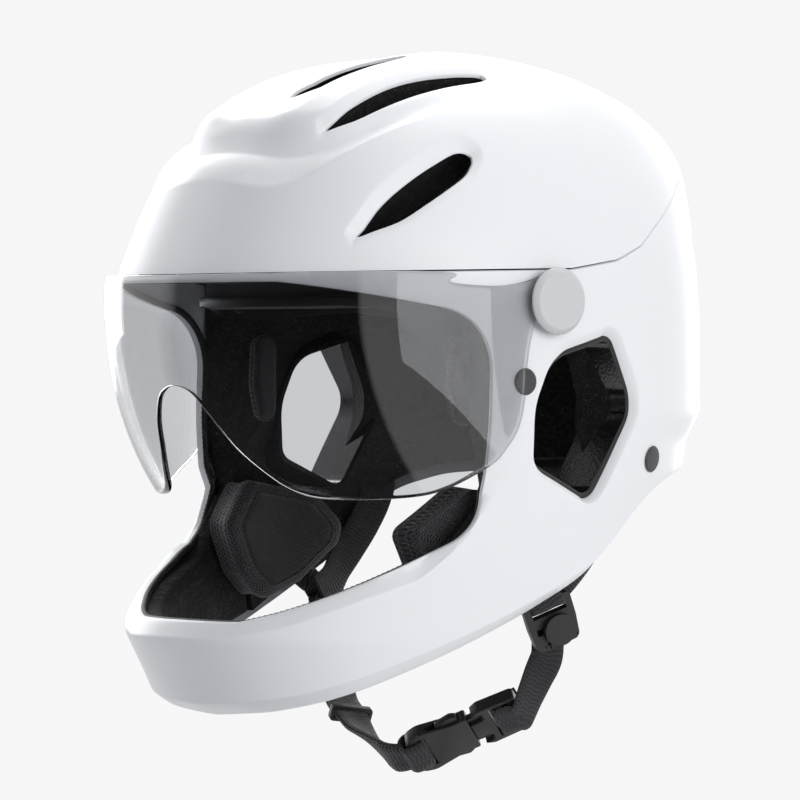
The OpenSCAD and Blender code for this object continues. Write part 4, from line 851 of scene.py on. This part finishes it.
def tube(name, rings, loop=False, sharp=40):
    """A closed tube through rings of equally many points, in millimetres."""
    rings = np.asarray(rings, float)
    n, m = rings.shape[:2]
    c, d = rings[0].mean(0), rings[1].mean(0) - rings[0].mean(0)
    turning = np.cross(rings[0] - c, np.roll(rings[0], -1, 0) - c).sum(0)
    if turning @ d < 0:
        rings = rings[:, ::-1]
    faces = grid_faces(n, m, loop)
    if not loop:
        faces += [tuple(range(m))[::-1], tuple((n - 1) * m + j for j in range(m))]
    return solid(name, rings.reshape(-1, 3), faces, sharp)


def chin_ring(a):
    b, c = bottom_at(a) + 5, chin_top_at(a)
    end = np.clip((fold(a) + 41) / 4, 0, 1)
    d = shell_t + liner_gap + 0.4 + 1.0 * np.clip((fold(a) + 27) / 2, 0, 1)
    t, lip = d + chin_foam_t - 1.4 * end, chamfer_d * (chamfer_h - 2) / chamfer_h
    shape = rounded([(d, b, 0), (d, (b + c - chamfer_h) / 2, 0), (d, c - chamfer_h, 0),
                     (d + lip, c - 2, 1), (t - 1, c - 2, 2.5), (t, c - chamfer_h, 3),
                     (t, (b + c - chamfer_h) / 2, 0), (t - 2.5, b + 0.6, 3)], 5)
    return np.array([skin(z, a, k) for k, z in shape])


chin_foam = tube("foam_chin", [chin_ring(a) for a in np.radians(np.arange(-156, -23.9, 2.0))])
chin_foam.data.materials.append(foam_black)
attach(chin_foam, "helmet")
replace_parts(chin_foam, "chin_liner")

# Edging and ear rings
# A ribbed black rubber edging closes the gap between shell and foam round the eye port, and a
# glossy black moulded ring with a round lip lines the foam at each ear.
edging_r, edging_step, rib_pitch, rib_depth = 1.45, 0.73, 2.2, 0.14
ring_t, ring_in_x = 2.4, 74.0


def rubber(name, tone, rough):
    made, tree, shader = surface(name, Roughness=rough, Specular_IOR_Level=0.45, Base_Color=(*tone, 1))
    here = add(tree, "TexCoord").outputs["Object"]
    bumped(tree, shader, noise(tree, here, 700.0, 3.0), 0.35, 0.0002)
    return made


def round_rings(line, outward, radius, step):
    """Round sections along a closed line of points, one corner every step degrees."""
    ahead = unit_rows(np.roll(line, -1, 0) - np.roll(line, 1, 0))
    side = unit_rows(np.cross(ahead, outward))
    rise = np.cross(side, ahead)
    turn = np.radians(np.arange(0, 360, step))[:, None]
    return line[:, None] + (side[:, None] * np.cos(turn) + rise[:, None] * np.sin(turn)) * radius


soft_black = rubber("edging rubber", (0.014, 0.014, 0.015), 0.55)
gloss_black = rubber("ear ring gloss", (0.012, 0.012, 0.013), 0.12)
run = evened(grown(eye_loop, 0.9), edging_step)
centre_line = on_lower(run, shell_t + 1.55, no_dents)
out_of = np.stack([centre_line[:, 0], centre_line[:, 1], 0 * centre_line[:, 0]], 1)
r = edging_r + rib_depth * np.cos(2 * np.pi * edging_step / rib_pitch * np.arange(len(run)))
rings = round_rings(centre_line, out_of, r[:, None, None], 40)
edging = tube("eye_edging", rings, True)
edging.data.materials.append(soft_black)
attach(edging, "helmet")
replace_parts(edging, "eye_port_trim")

port = evened(rounded(ear_port, 12), 1.2)
if signed_area(port) < 0:
    port = port[::-1]
reach = skin_x(port[:, 0], port[:, 1], shell_t + 0.25)
for s, node in ((1, "ear_ring_left"), (-1, "ear_ring_right")):
    section = [(None, 0.35), (0.0, 0.35), (0.25, 0.1), (0.9, -0.1), (1.3, 0.5), (1.3, 1.5),
               (0.7, ring_t + 0.1), (-2.2, ring_t + 0.1), (None, ring_t)]
    rows = []
    for x, inset in section:
        q = grown(port, -inset)
        out = np.full(len(q), ring_in_x) if x is None else reach + x - 2.0
        rows.append(np.stack([s * out, q[:, 0], q[:, 1]], 1))
    made = tube(node.replace("ear_ring", "ear_port_ring"), np.array(rows).transpose(1, 0, 2), True, 50)
    made.data.materials.append(gloss_black)
    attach(made, "helmet")
    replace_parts(made, node)

# Visor
# One moulding of clear polycarbonate with a light smoke tint, two millimetres thick, cut away for
# the nose and the cheeks. Its polished edges round over; an eye at each end turns on the bush.
visor_side_x, visor_t, visor_power, visor_gap, visor_mesh = 109.6, 2.0, 2.5, 0.8, 3.4
pivot_y, pivot_z, hub_r, hub_hole_r = -12.0, 48.0, 11.5, 5.1
visor_arc_r = math.hypot(brow_reach + pivot_y, brow_z - pivot_z) + visor_gap + visor_t
visor_top = ((0, 56, 59, 69, 76, 80.2), (61, 61, 56.5, 54.6, 56.2, 58.8))
visor_low = ((0, 2.8, 5.5, 9, 13, 19, 24, 31, 44, 53, 58, 62, 68, 70.4, 73.8, 75.6, 76.4, 77.4),
             (14.2, 13, 9.4, -0.3, -12.7, -24, -30.2, -33.4, -33.6, -32.2, -29.5, -26, -19.5, -15, -6, 6,
              22, 32))
per_degree = 1.95


def visor_skin(q, d):
    a = np.radians(q[:, 0] / per_degree - 90)
    reach = -pivot_y + root((visor_arc_r - d) ** 2 - (q[:, 1] - pivot_z) ** 2)
    r = oval(a, visor_side_x + visor_t - d, reach, visor_power)
    return polar(r, a, q[:, 1])


around_hub = np.radians(np.arange(-148, 101, 8))
hub_y, hub_z = pivot_y + hub_r * np.cos(around_hub), pivot_z + hub_r * np.sin(around_hub)
hub = np.stack([90 + np.degrees(np.arctan2(hub_y, visor_side_x + visor_t)), hub_z], 1)
half = np.concatenate([np.stack(visor_low, 1), hub, np.stack(visor_top, 1)[::-1]])
half[:, 0] *= per_degree
mirrored = half[::-1].copy()
mirrored[:, 0] *= -1
whole = np.concatenate([half[:-1], [[0, 61]], mirrored[1:-1]])
visor_outline = evened(closed_curve(whole, 1.5), 1.5)
turn_of = np.radians(np.arange(0, 360, 15))
hub_ring = np.stack([90 + np.degrees(np.arctan2(pivot_y + hub_hole_r * np.cos(turn_of),
                                                visor_side_x + visor_t)),
                     pivot_z + hub_hole_r * np.sin(turn_of)], 1) * (per_degree, 1)
hub_rings = [hub_ring, hub_ring * (-1, 1)]
visor_lines = [(grown(visor_outline, -k), True) for k in (0.12, 0.35, 0.65, 1.0, 1.8)]
flat, faces = flat_patch(visor_outline, hub_rings, visor_lines, visor_mesh)


def visor_wall(q, d):
    t = distance(q, visor_outline)[0]
    over = 0.9 - root(0.81 - np.clip(0.9 - t, 0, 0.9) ** 2)
    return visor_skin(q, (d - over * 0.9) if d else over * 0.9)


visor = walled(flat, faces, visor_wall, "visor_shield", visor_t)
smoke, tree, shader = surface("smoked clear", Base_Color=(0.68, 0.69, 0.705, 1), Roughness=0.0, IOR=1.5,
                              Transmission_Weight=1.0)
visor.data.materials.append(smoke)
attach(visor, "visor")
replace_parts(visor, "visor")

# Cushions
# Black knitted cloth over soft foam: firm cheek pads with open mesh round a ribbed panel, thin pads
# on the crown, the temples and the nape, and a brow pad sewn into six fields with a pale piping.
cheek_pad_t, thin_pad_t, brow_pad_t = 20.0, 7.0, 9.0
belt_t, brow_pad_low, brow_pad_h, brow_fields = 1.6, 46.0, 24.0, 6
cheek_outline = ((-61, -48, 6), (-40, -28.5, 7), (2, -36, 9), (15, -50, 6), (11, -59, 7), (-14, -75.5, 12),
                 (-39, -83, 9), (-52, -70, 9))
side_outline = ((-36, 36, 6), (-23.5, 33, 5), (-24.5, -4.5, 5), (-34, -4.5, 5), (-38, 12, 10))
crown_outline = ((-24, -50, 12), (24, -50, 12), (32, 0, 20), (22, 48, 12), (-22, 48, 12), (-32, 0, 20))
nape_outline = ((-34, -51, 8), (34, -51, 8), (34, -25, 8), (-34, -25, 8))
# Share of the outline's size and of the thickness, from the back over the side to the crown
firm_rings = ((0.94, 0), (0.93, 0.1), (0.925, 0.28), (0.945, 0.48), (0.975, 0.64), (0.98, 0.74),
              (0.965, 0.83), (0.93, 0.9), (0.86, 0.955), (0.79, 0.985), (0.775, 0.955), (0.76, 0.985),
              (0.7, 1.01), (0.55, 1.03), (0.38, 1.045), (0.2, 1.055))
thin_rings = ((0.94, 0), (0.96, 0.15), (0.985, 0.38), (0.985, 0.55), (0.965, 0.66), (0.95, 0.64),
              (0.935, 0.72), (0.88, 0.86), (0.78, 0.95), (0.6, 1.0), (0.4, 1.03), (0.2, 1.045))


def woven(name, tone, rough, height_of, depth, pale=1.6):
    """Cloth: height_of builds the thread relief from the piece's own millimetre map."""
    made, tree, shader = surface(name, Roughness=rough, Specular_IOR_Level=0.3, Sheen_Weight=0.25,
                                 Sheen_Roughness=0.5)
    here = add(tree, "UVMap", uv_map="threads").outputs[0]
    relief = height_of(tree, here)
    # On top of a random mottle, the colour is painted lighter where the thread relief is high and darker in
    # its grooves and holes: a painted highlight and painted shade.
    low = mottled(tree, noise(tree, here, 0.08, 4.0), tone, 0.8, 1.2)
    high = add(tree, "MixRGB", {0: relief, 1: low, 2: (*[c * pale for c in tone], 1)})
    tree.links.new(high.outputs[0], shader.inputs["Base Color"])
    bumped(tree, shader, relief, 0.9, depth)
    return made


def waves(tree, value, pitch):
    return math_node(tree, "SINE", math_node(tree, "MULTIPLY", value, 2 * math.pi / pitch))


def plus(tree, first, second, share):
    """first + second * share"""
    return math_node(tree, "ADD", first, math_node(tree, "MULTIPLY", second, share))


def levelled(tree, value, factor, base):
    """value * factor + base"""
    return math_node(tree, "ADD", math_node(tree, "MULTIPLY", value, factor), base)


def ribs(tree, here, across=0.77, along=0.64, pitch=1.25):
    """Fine ribs at a slant."""
    part = add(tree, "SeparateXYZ", {0: here}).outputs
    phase = plus(tree, math_node(tree, "MULTIPLY", part[0], across), part[1], along)
    both = plus(tree, waves(tree, phase, pitch), waves(tree, part[1], 0.8), 0.3)
    return levelled(tree, both, 0.38, 0.5)


def hexes(tree, here, pitch=2.5):
    """Open spacer mesh: threads round six-sided holes."""
    tall = 1.732
    vector = lambda one, two, operation: add(tree, "VectorMath", {0: one, 1: two},
                                             operation=operation).outputs[0]
    scaled = vector(here, (1 / pitch, 1 / (pitch * tall), 0), "MULTIPLY")
    found = []
    for shift in (0.0, 0.5):
        cell = add(tree, "VectorMath", {0: vector(scaled, (shift, shift, 0), "ADD")},
                   operation="FRACTION").outputs[0]
        off_middle = vector(vector(cell, (0.5, 0.5, 0), "SUBTRACT"), (1, tall, 0), "MULTIPLY")
        found.append(add(tree, "VectorMath", {0: off_middle}, operation="LENGTH").outputs["Value"])
    near = math_node(tree, "MINIMUM", found[0], found[1])
    return add(tree, "MapRange", {"Value": near, "From Min": 0.24, "From Max": 0.40}).outputs[0]


def knit(tree, here):
    """Small stitches in columns."""
    part = add(tree, "SeparateXYZ", {0: here}).outputs
    column = math_node(tree, "ABSOLUTE", waves(tree, part[0], 0.9))
    stitch = waves(tree, math_node(tree, "ADD", part[1], math_node(tree, "PINGPONG", part[0], 0.9)), 0.75)
    return levelled(tree, plus(tree, column, stitch, 0.5), 0.45, 0.25)


# The last number: how many times as light the thread ridges are painted as the grooves and holes, a painted
# highlight and painted shade; 1.6 where none is given.
panel_cloth = woven("ribbed cloth", (0.011, 0.011, 0.012), 0.85, ribs, 0.0004)
mesh_cloth = woven("spacer mesh", (0.007, 0.007, 0.008), 0.8, hexes, 0.0012, 4.0)
knit_cloth = woven("knitted cloth", (0.014, 0.014, 0.015), 0.9, knit, 0.0004)
welt_cloth = rubber("welt", (0.02, 0.02, 0.021), 0.6)
pale_welt = rubber("pale welt", (0.30, 0.30, 0.31), 0.55)


def cushion(name, outline, profile, thickness, place, panel_from, panel):
    """A crowned pad: rings of its outline, from its back to its crown, on what carries it."""
    line = evened(rounded(outline, 8), 2.0)
    centre = (line.max(0) + line.min(0)) / 2
    n, m = len(profile), len(line)
    flat_rings = np.array([centre + (line - centre) * share for share, _ in profile])
    points = [place(flat_rings[i, :, 0], flat_rings[i, :, 1], profile[i][1] * thickness) for i in range(n)]
    tip = place(centre[:1], centre[1:], profile[-1][1] * thickness * 1.003)
    back = place(centre[:1], centre[1:], 0.4)
    all_points = np.concatenate([np.concatenate(points), tip, back])
    faces = grid_faces(n, m)
    faces += [((n - 1) * m + j, (n - 1) * m + (j + 1) % m, n * m) for j in range(m)]
    faces += [((j + 1) % m, j, n * m + 1) for j in range(m)]
    a, b, c = (all_points[faces[0][k]] for k in range(3))
    if np.cross(b - a, c - a) @ (a - all_points[:m].mean(0)) < 0:
        faces = [f[::-1] for f in faces]
    made = solid(name, all_points, faces, 60)
    run = run_along(np.concatenate([line, line[:1]]))
    threads = made.data.uv_layers.new(name="threads")
    made.data.materials.append(mesh_cloth)
    made.data.materials.append(panel)
    for poly in made.data.polygons:
        at = [made.data.loops[k].vertex_index for k in poly.loop_indices]
        level = min(v // m for v in at)
        on_panel = level >= panel_from
        poly.material_index = int(on_panel)
        wraps = not on_panel and any(v % m == m - 1 for v in at) and any(v % m == 0 for v in at)
        for loop, v in zip(poly.loop_indices, at):
            if v >= n * m:
                threads.data[loop].uv = centre
            elif on_panel:
                threads.data[loop].uv = flat_rings[v // m, v % m]
            else:
                i, j = v // m, v % m
                out = (1 - profile[i][0]) * 60
                threads.data[loop].uv = (run[m] if wraps and j == 0 else run[j],
                                         profile[i][1] * thickness + out)
    return made, line, centre


def welt(name, line, radius, material):
    """A piping along a closed line of points."""
    made = tube(name, round_rings(line, line - line.mean(0), radius, 45), True, 60)
    made.data.materials.append(material)
    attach(made, "helmet")
    return made


def on_side(s):
    return lambda y, z, h: np.stack([s * (cavity_x(y, z) - liner_gap - h), y + 0 * z, z + 0 * y], 1)


cradle_inset, cradle_t = 12.4, 1.6


def cradle_y(x):
    d = cradle_inset + cradle_t / 2 + 0.4
    return (head_reach - d) * (1 - (np.abs(x) / (head_half_w - d)) ** cavity_power) ** (1 / cavity_power)


under_crown = lambda x, y, h: np.stack([x, y, cavity_z(x, y) - 0.8 - h], 1)
on_cradle = lambda x, z, h: np.stack([x, cradle_y(x) - h, z], 1)
# Each kind: rings, thickness, where the panel starts, its cloth, the piping's share and level
thin_kind = (thin_rings, thin_pad_t, 5, knit_cloth, 0.94, 0.66)
firm_kind = (firm_rings, cheek_pad_t, 9, panel_cloth, 0.775, 0.975)
pads = [("crown_pad", crown_outline, under_crown, thin_kind),
        ("nape_pad", nape_outline, on_cradle, thin_kind)]
for s, side in ((1, "left"), (-1, "right")):
    pads.append(("cheek_pad_" + side, cheek_outline, on_side(s), firm_kind))
    pads.append(("side_pad_" + side, side_outline, on_side(s), thin_kind))
for node, outline, place, (profile, thickness, panel_from, panel, share, level) in pads:
    name = node + "_cushion"
    made, line, centre = cushion(name, outline, profile, thickness, place, panel_from, panel)
    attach(made, "helmet")
    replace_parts(made, node)
    seam = centre + (line - centre) * share
    welt(node + "_piping", place(seam[:, 0], seam[:, 1], level * thickness), 0.55, welt_cloth)

# The brow pad: its skin swells in each field and sinks at the stitched lines between them
steps, lift = 180, belt_t + 3 * 0.3
span = np.linspace(-139, -41, steps + 1)
brow_section = ((0.04, 0), (0, 0.3), (0.03, 0.62), (0.1, 0.86), (0.22, 0.97), (0.36, 1.0), (0.5, 1.01),
                (0.64, 1.0), (0.78, 0.97), (0.9, 0.84), (0.97, 0.6), (1, 0.3), (0.96, 0))
rows = []
for k, degrees in enumerate(span):
    share = k / steps
    field = abs(math.sin(math.pi * brow_fields * share))
    taper = math.sin(math.radians(min(max(180 * share, 4), 176))) ** 0.3
    full = brow_pad_t * (0.66 + 0.34 * field ** 0.35) * taper
    height = brow_pad_h * (0.86 + 0.14 * math.sin(math.pi * share))
    way = math.radians(degrees)
    rows.append([cavity(brow_pad_low + height * u, way, lift + full * v) for u, v in brow_section])
brow = tube("brow_pad_cushion", rows, False, 60)
threads = brow.data.uv_layers.new(name="threads")
for poly in brow.data.polygons:
    for loop in poly.loop_indices:
        v = brow.data.loops[loop].vertex_index
        threads.data[loop].uv = (v // len(brow_section) * 0.9,
                                 brow_section[v % len(brow_section)][0] * brow_pad_h)
brow.data.materials.append(knit_cloth)
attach(brow, "helmet")
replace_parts(brow, "brow_pad")
edge_line = np.array(rows)[:, 9]
far_line = np.array(rows)[::-1, 3]
piping = np.concatenate([edge_line[3:-3], far_line[3:-3]])
welt("brow_pad_piping", evened(piping, 1.5), 0.7, pale_welt)

# Webbing
# Polyester webbing 15 mm wide in a ribbed weave, from the rivets on the shell through the dividers
# below the ears and to the buckle; the wearer's right strap is doubled back to its free end.
strap_w, strap_t = 15.0, 1.4
buckle_len, buckle_t = 52.0, 7.0
divider_at, divider_t, divider_h = np.array([77.0, 11.5, -88.5]), 4.0, 22.0
strap_inset = shell_t + strap_t / 2 + 1.6


def unit(v):
    v = np.array(v, float)
    return v / np.linalg.norm(v)


def turned(v, degrees, axis):
    """v turned about the axis 0, 1 or 2."""
    c, s = math.cos(math.radians(degrees)), math.sin(math.radians(degrees))
    a, b = [(1, 2), (2, 0), (0, 1)][axis]
    out = np.array(v, float)
    out[a], out[b] = v[a] * c - v[b] * s, v[a] * s + v[b] * c
    return out


def divider_way(p):
    """A way given in the divider's own axes: along its slots, up its frame, out of its face."""
    v = (p[2], p[0], p[1])
    for degrees, axis in ((22, 0), (14, 1), (-16, 2)):
        v = turned(v, degrees, axis)
    return v


divider_point = lambda *p: divider_at + divider_way(p)
divider_x, divider_up = divider_way((1, 0, 0)), divider_way((0, 1, 0))
buckle_at = np.array([45.0, -10.0, -135.3])
buckle_x = unit((-0.677, -0.625, -0.39))
buckle_z = np.array([0.698, -0.376, -0.61])
buckle_z = unit(buckle_z - buckle_x * (buckle_z @ buckle_x))
buckle_y = np.cross(buckle_z, buckle_x)
buckle_point = lambda *p: buckle_at + buckle_x * p[0] + buckle_y * p[1] + buckle_z * p[2]
across_x = lambda p: np.array([-p[0], p[1], p[2]])
between = lambda a, b, t: np.array(a, float) + (np.array(b, float) - np.array(a, float)) * t


def inside_skin(y, z, rise=0.0, inward=0.0):
    ahead, behind = (float(skin_x(np.float64(y + k), np.float64(z), strap_inset)) for k in (3, -3))
    x = float(skin_x(np.float64(y), np.float64(z), strap_inset))
    return np.array([x - inward, y, z]), np.array([(ahead - behind) / 6, 1, rise])


def eased(path, steps):
    """Smooth curve through a path's points, with the direction of the width turning evenly."""
    out = []
    n = len(path)
    for i in range(n - 1):
        a, b, c, d = (np.array(path[min(max(k, 0), n - 1)][0]) for k in (i - 1, i, i + 1, i + 2))
        for t in np.arange(steps) / steps:
            out.append((spline(a, b, c, d, t), between(unit(path[i][1]), unit(path[i + 1][1]), t)))
    return out + [(np.array(path[-1][0], float), unit(path[-1][1]))]


# One section of webbing: across and through, with round edges
webbing_section = [(-1, 0), (-0.985, 0.62), (-0.93, 1), (-0.5, 1), (0, 1), (0.5, 1), (0.93, 1),
                   (0.985, 0.62), (1, 0), (0.985, -0.62), (0.93, -1), (0.5, -1), (0, -1), (-0.5, -1),
                   (-0.93, -1), (-0.985, -0.62)]


def webbing_strap(name, path, shift=0.0, mirror=False):
    """A ribbon along a path; shift moves it through its own thickness."""
    run = eased(path, 8)
    centre = np.array([p for p, _ in run])
    last = len(run) - 1
    along = np.array([unit(centre[min(i + 1, last)] - centre[max(i - 1, 0)]) for i in range(last + 1)])
    wide = np.array([unit(w - a * (a @ w)) for (_, w), a in zip(run, along)])
    thick = np.cross(along, wide)
    rows = np.array([[c + w * (u * strap_w / 2) + t * (v * strap_t / 2 + shift) for u, v in webbing_section]
                     for c, w, t in zip(centre, wide, thick)])
    if mirror:
        rows[:, :, 0] *= -1
    made = tube(name, rows, False, 50)
    run_at = run_along(centre)
    threads = made.data.uv_layers.new(name="threads")
    m = len(webbing_section)
    for loop in made.data.loops:
        v = loop.vertex_index
        threads.data[loop.index].uv = (webbing_section[v % m][0] * strap_w / 2, run_at[v // m])
    made.data.materials.append(webbing_black)
    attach(made, "helmet")
    return made


def cross_ribs(tree, here):
    """Ribs across the webbing, slightly bent in zigzag, crossed by fine cords."""
    part = add(tree, "SeparateXYZ", {0: here}).outputs
    zigzag = math_node(tree, "PINGPONG", math_node(tree, "ADD", part[0], 20.0), 2.4)
    thread = waves(tree, plus(tree, part[1], zigzag, 0.3), 1.8)
    return levelled(tree, plus(tree, thread, waves(tree, part[0], 0.8), 0.25), 0.4, 0.5)


# Its ridges are painted 2.4 times as light as the grooves between them: a painted highlight and painted
# shade.
webbing_black = woven("webbing", (0.012, 0.012, 0.013), 0.72, cross_ribs, 0.0004, 2.4)
along_y = (0, 1, 0)
behind_divider = -divider_t / 2 - strap_t / 2 - 0.3
front_path = [inside_skin(-26, 17), inside_skin(-31, 2), inside_skin(-31, -14),
              inside_skin(-28, -32, 0.3), inside_skin(-18, -50, 0.5),
              (inside_skin(-6, -62, 0, 1.5)[0], (0, 1, 0.5)),
              (divider_point(-3.8, 22, 4.9), between((0, 0.9, 0.45), divider_x, 0.5)),
              (divider_point(-1.9, divider_h / 2 + 5.5, 3.2), divider_x),
              (divider_point(-0.9, divider_h / 2 + 1, 3.1), divider_x)]
into_slot = ((8.6, 3.0), (7.4, 2.5), (6.9, 1.2), (6.5, -0.6))
front_path += [(divider_point(0, y, z), divider_x) for y, z in into_slot]
rear_path = [(inside_skin(53, -16, 0, 0.8)[0], (-0.4, 1, 0.4)),
             (inside_skin(48, -27, 0, 2.8)[0], (-0.4, 1, 0.2)),
             (inside_skin(42, -39, 0, 7)[0], (-0.3, 1, -0.1)),
             (inside_skin(33.5, -51, 0, 9)[0], (-0.25, 0.9, -0.4)),
             ((81.5, 25.5, -61), (-0.2, 0.7, -0.7)), (divider_point(13, 15, -3.8), -divider_up),
             (divider_point(3.5, 11.5, behind_divider - 0.4), -divider_up),
             (divider_point(-7.5, 11.5, behind_divider - 0.4), -divider_up)]
for mirror, side in ((False, "left"), (True, "right")):
    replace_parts(webbing_strap("front_webbing_" + side, front_path, mirror=mirror), "front_strap_" + side)
    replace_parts(webbing_strap("rear_webbing_" + side, rear_path, mirror=mirror), "rear_strap_" + side)

under_slot = ((0.5, -1, 0), (-2.5, -8, -0.3), (-5.5, -16, -0.6))
left_path = [(divider_point(x, y, behind_divider + z), divider_x) for x, y, z in under_slot]
ahead_of_bar = buckle_point(-buckle_len / 2 + 1, 0, buckle_t / 2 + 2.4)
last = left_path[-1][0]
left_path += [(between(last, ahead_of_bar, t), between(divider_x, buckle_y, t)) for t in (0.33, 0.66)]
left_path += [(ahead_of_bar, buckle_y)]
round_bar = ((-21, 4.5), (-17, 4.4), (-15.3, 4.3), (-14.5, 3.3), (-14.4, 0), (-14.5, -3.3),
             (-15.3, -4.3), (-17, -4.4), (-22, -4.5), (-26.5, -4.6))
left_path += [(buckle_point(x, 0, z), buckle_y) for x, z in round_bar]
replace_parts(webbing_strap("chin_webbing_left", left_path), "chin_strap_left")

double_t = 2 * strap_t + 0.3
behind_far = -divider_t / 2 - double_t / 2 - 0.3
wide_far = across_x(divider_x)
right_path = [(buckle_point(buckle_len / 2 + 2.4, 0, 0), buckle_y),
              (buckle_point(buckle_len / 2 + 3.6, 0, 0), buckle_y),
              ((19.5, -30.2, -147.1), (-0.1, 0.62, -0.78)), ((12, -29.2, -145.4), (-0.05, 0.64, -0.72)),
              ((0, -25.8, -142.2), (0.05, 0.76, -0.58)), ((-14, -21.5, -138), (0.08, 0.92, -0.32)),
              ((-28, -16.5, -131.5), along_y), ((-41, -11.5, -126.3), along_y),
              ((-52, -5, -117.5), along_y), ((-61, 3.5, -109), between(along_y, wide_far, 0.5)),
              (across_x(divider_point(-8, -15, behind_far - 0.8)), wide_far),
              (across_x(divider_point(-3, -8, behind_far)), wide_far),
              (across_x(divider_point(0.5, -1, behind_far)), wide_far)]
outer = webbing_strap("chin_webbing_right_upper", right_path, shift=(strap_t + 0.3) / 2)
webbing_strap("chin_webbing_right_lower", right_path, shift=-(strap_t + 0.3) / 2)
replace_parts(outer, "chin_strap_right")
end_loop = [(28.8, 1.2), (27.8, 3.2), (25.6, 4.6), (21, 4.5), (19.3, 4.1), (18.6, 2.8), (18.6, -2.8),
            (19.3, -4.1), (21, -4.5), (25.6, -4.6), (27.8, -3.2), (28.8, -1.2)]
webbing_strap("chin_webbing_loop", [(buckle_point(x, 0, z), buckle_y) for x, z in end_loop])

# Moulded small parts
# Visor bearings and knobs, strap rivets, dividers with their cam levers, the buckle, the keeper and
# the fit system: the CAD forms with their edges broken, in fine-grained nylon or grey enamel.
sharp_edge = math.radians(28)


def finished(node, name, material, broken=0.25):
    """A copy of a CAD piece with its edges rounded off."""
    source = frame["nodes"][node]
    work = bmesh.new()
    work.from_mesh(source.data)
    bmesh.ops.remove_doubles(work, verts=work.verts, dist=0.00002)
    bmesh.ops.dissolve_limit(work, angle_limit=math.radians(1.0), verts=work.verts, edges=work.edges)
    edges = [e for e in work.edges if len(e.link_faces) == 2 and e.calc_face_angle() > sharp_edge]
    bmesh.ops.bevel(work, geom=edges, offset=broken * MM, offset_type="OFFSET", segments=2, profile=0.6,
                    affect="EDGES", clamp_overlap=True)
    bmesh.ops.recalc_face_normals(work, faces=work.faces)
    mesh = bpy.data.meshes.new(name)
    work.to_mesh(mesh)
    work.free()
    mesh.shade_smooth()
    mesh.set_sharp_from_angle(angle=math.radians(35))
    mesh.materials.clear()
    mesh.materials.append(material)
    made = bpy.data.objects.new(name, mesh)
    bpy.context.collection.objects.link(made)
    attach(made, source["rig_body"])
    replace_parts(made, node)
    return made


def grained(name, tone, rough, scale=900.0, depth=0.00012, spread=0.15):
    made, tree, shader = surface(name, Roughness=rough, Specular_IOR_Level=0.5)
    here = add(tree, "TexCoord").outputs["Object"]
    grain = noise(tree, here, scale, 3.0)
    tint = mottled(tree, grain, tone, 1 - spread, 1 + spread)
    tree.links.new(tint, shader.inputs["Base Color"])
    bumped(tree, shader, grain, 0.5, depth)
    return made


knob_grey = grained("knob grey", (0.56, 0.565, 0.575), 0.42, 900.0, 0.00002, 0.03)
nylon = grained("black nylon", (0.016, 0.016, 0.017), 0.42)
rivet_grey = grained("rivet grey", (0.045, 0.045, 0.048), 0.5)
black_acetal = grained("black acetal", (0.014, 0.014, 0.015), 0.3, 700.0, 0.00006)
for side in ("left", "right"):
    finished("visor_knob_" + side, "knob_" + side, knob_grey, 0.3)
    finished("visor_boss_" + side, "visor_bearing_" + side, nylon)
    finished("divider_" + side, "divider_frame_" + side, nylon, 0.4)
    finished("divider_lock_" + side, "divider_cam_" + side, nylon, 0.35)
    finished("belt_" + side, "fit_belt_" + side, nylon, 0.2)
    finished("rack_" + side, "fit_rack_" + side, black_acetal, 0.1)
small_parts = (
    ("front_anchors", "front_rivets", rivet_grey, 0.2),
    ("rear_anchors", "rear_rivets", rivet_grey, 0.2),
    ("buckle_socket", "buckle_female", nylon, 0.4),
    ("buckle_plug", "buckle_male", nylon, 0.35),
    ("buckle_prong_upper", "buckle_arm_upper", nylon, 0.3),
    ("buckle_prong_lower", "buckle_arm_lower", nylon, 0.3),
    ("strap_keeper", "keeper_ring", soft_black, 0.4),
    ("front_band", "brow_band", nylon, 0.2),
    ("band_rivets", "temple_rivets", nylon, 0.1),
    ("nape_cradle", "nape_cradle_plate", nylon, 0.3),
    ("dial_housing", "dial_case", nylon, 0.4),
    ("dial_cover", "dial_case_lid", nylon, 0.3),
    ("fit_dial", "dial_knob", nylon, 0.25),
    ("dial_pinion", "dial_gear", black_acetal, 0.05),
)
for node, name, material, broken in small_parts:
    finished(node, name, material, broken)

# In front the band narrows to a strip above the brow pad's piping
band_ends, band_blend, band_narrowed, band_middle_z = 52, 14, 0.62, 0.0507
for v in bpy.data.objects["brow_band"].data.vertices:
    off_front = abs(math.degrees(math.atan2(v.co.x, -v.co.y)))
    ahead = min(1.0, max(0.0, (band_ends - off_front) / band_blend))
    v.co.z = v.co.z * (1 - band_narrowed * ahead) + band_middle_z * band_narrowed * ahead
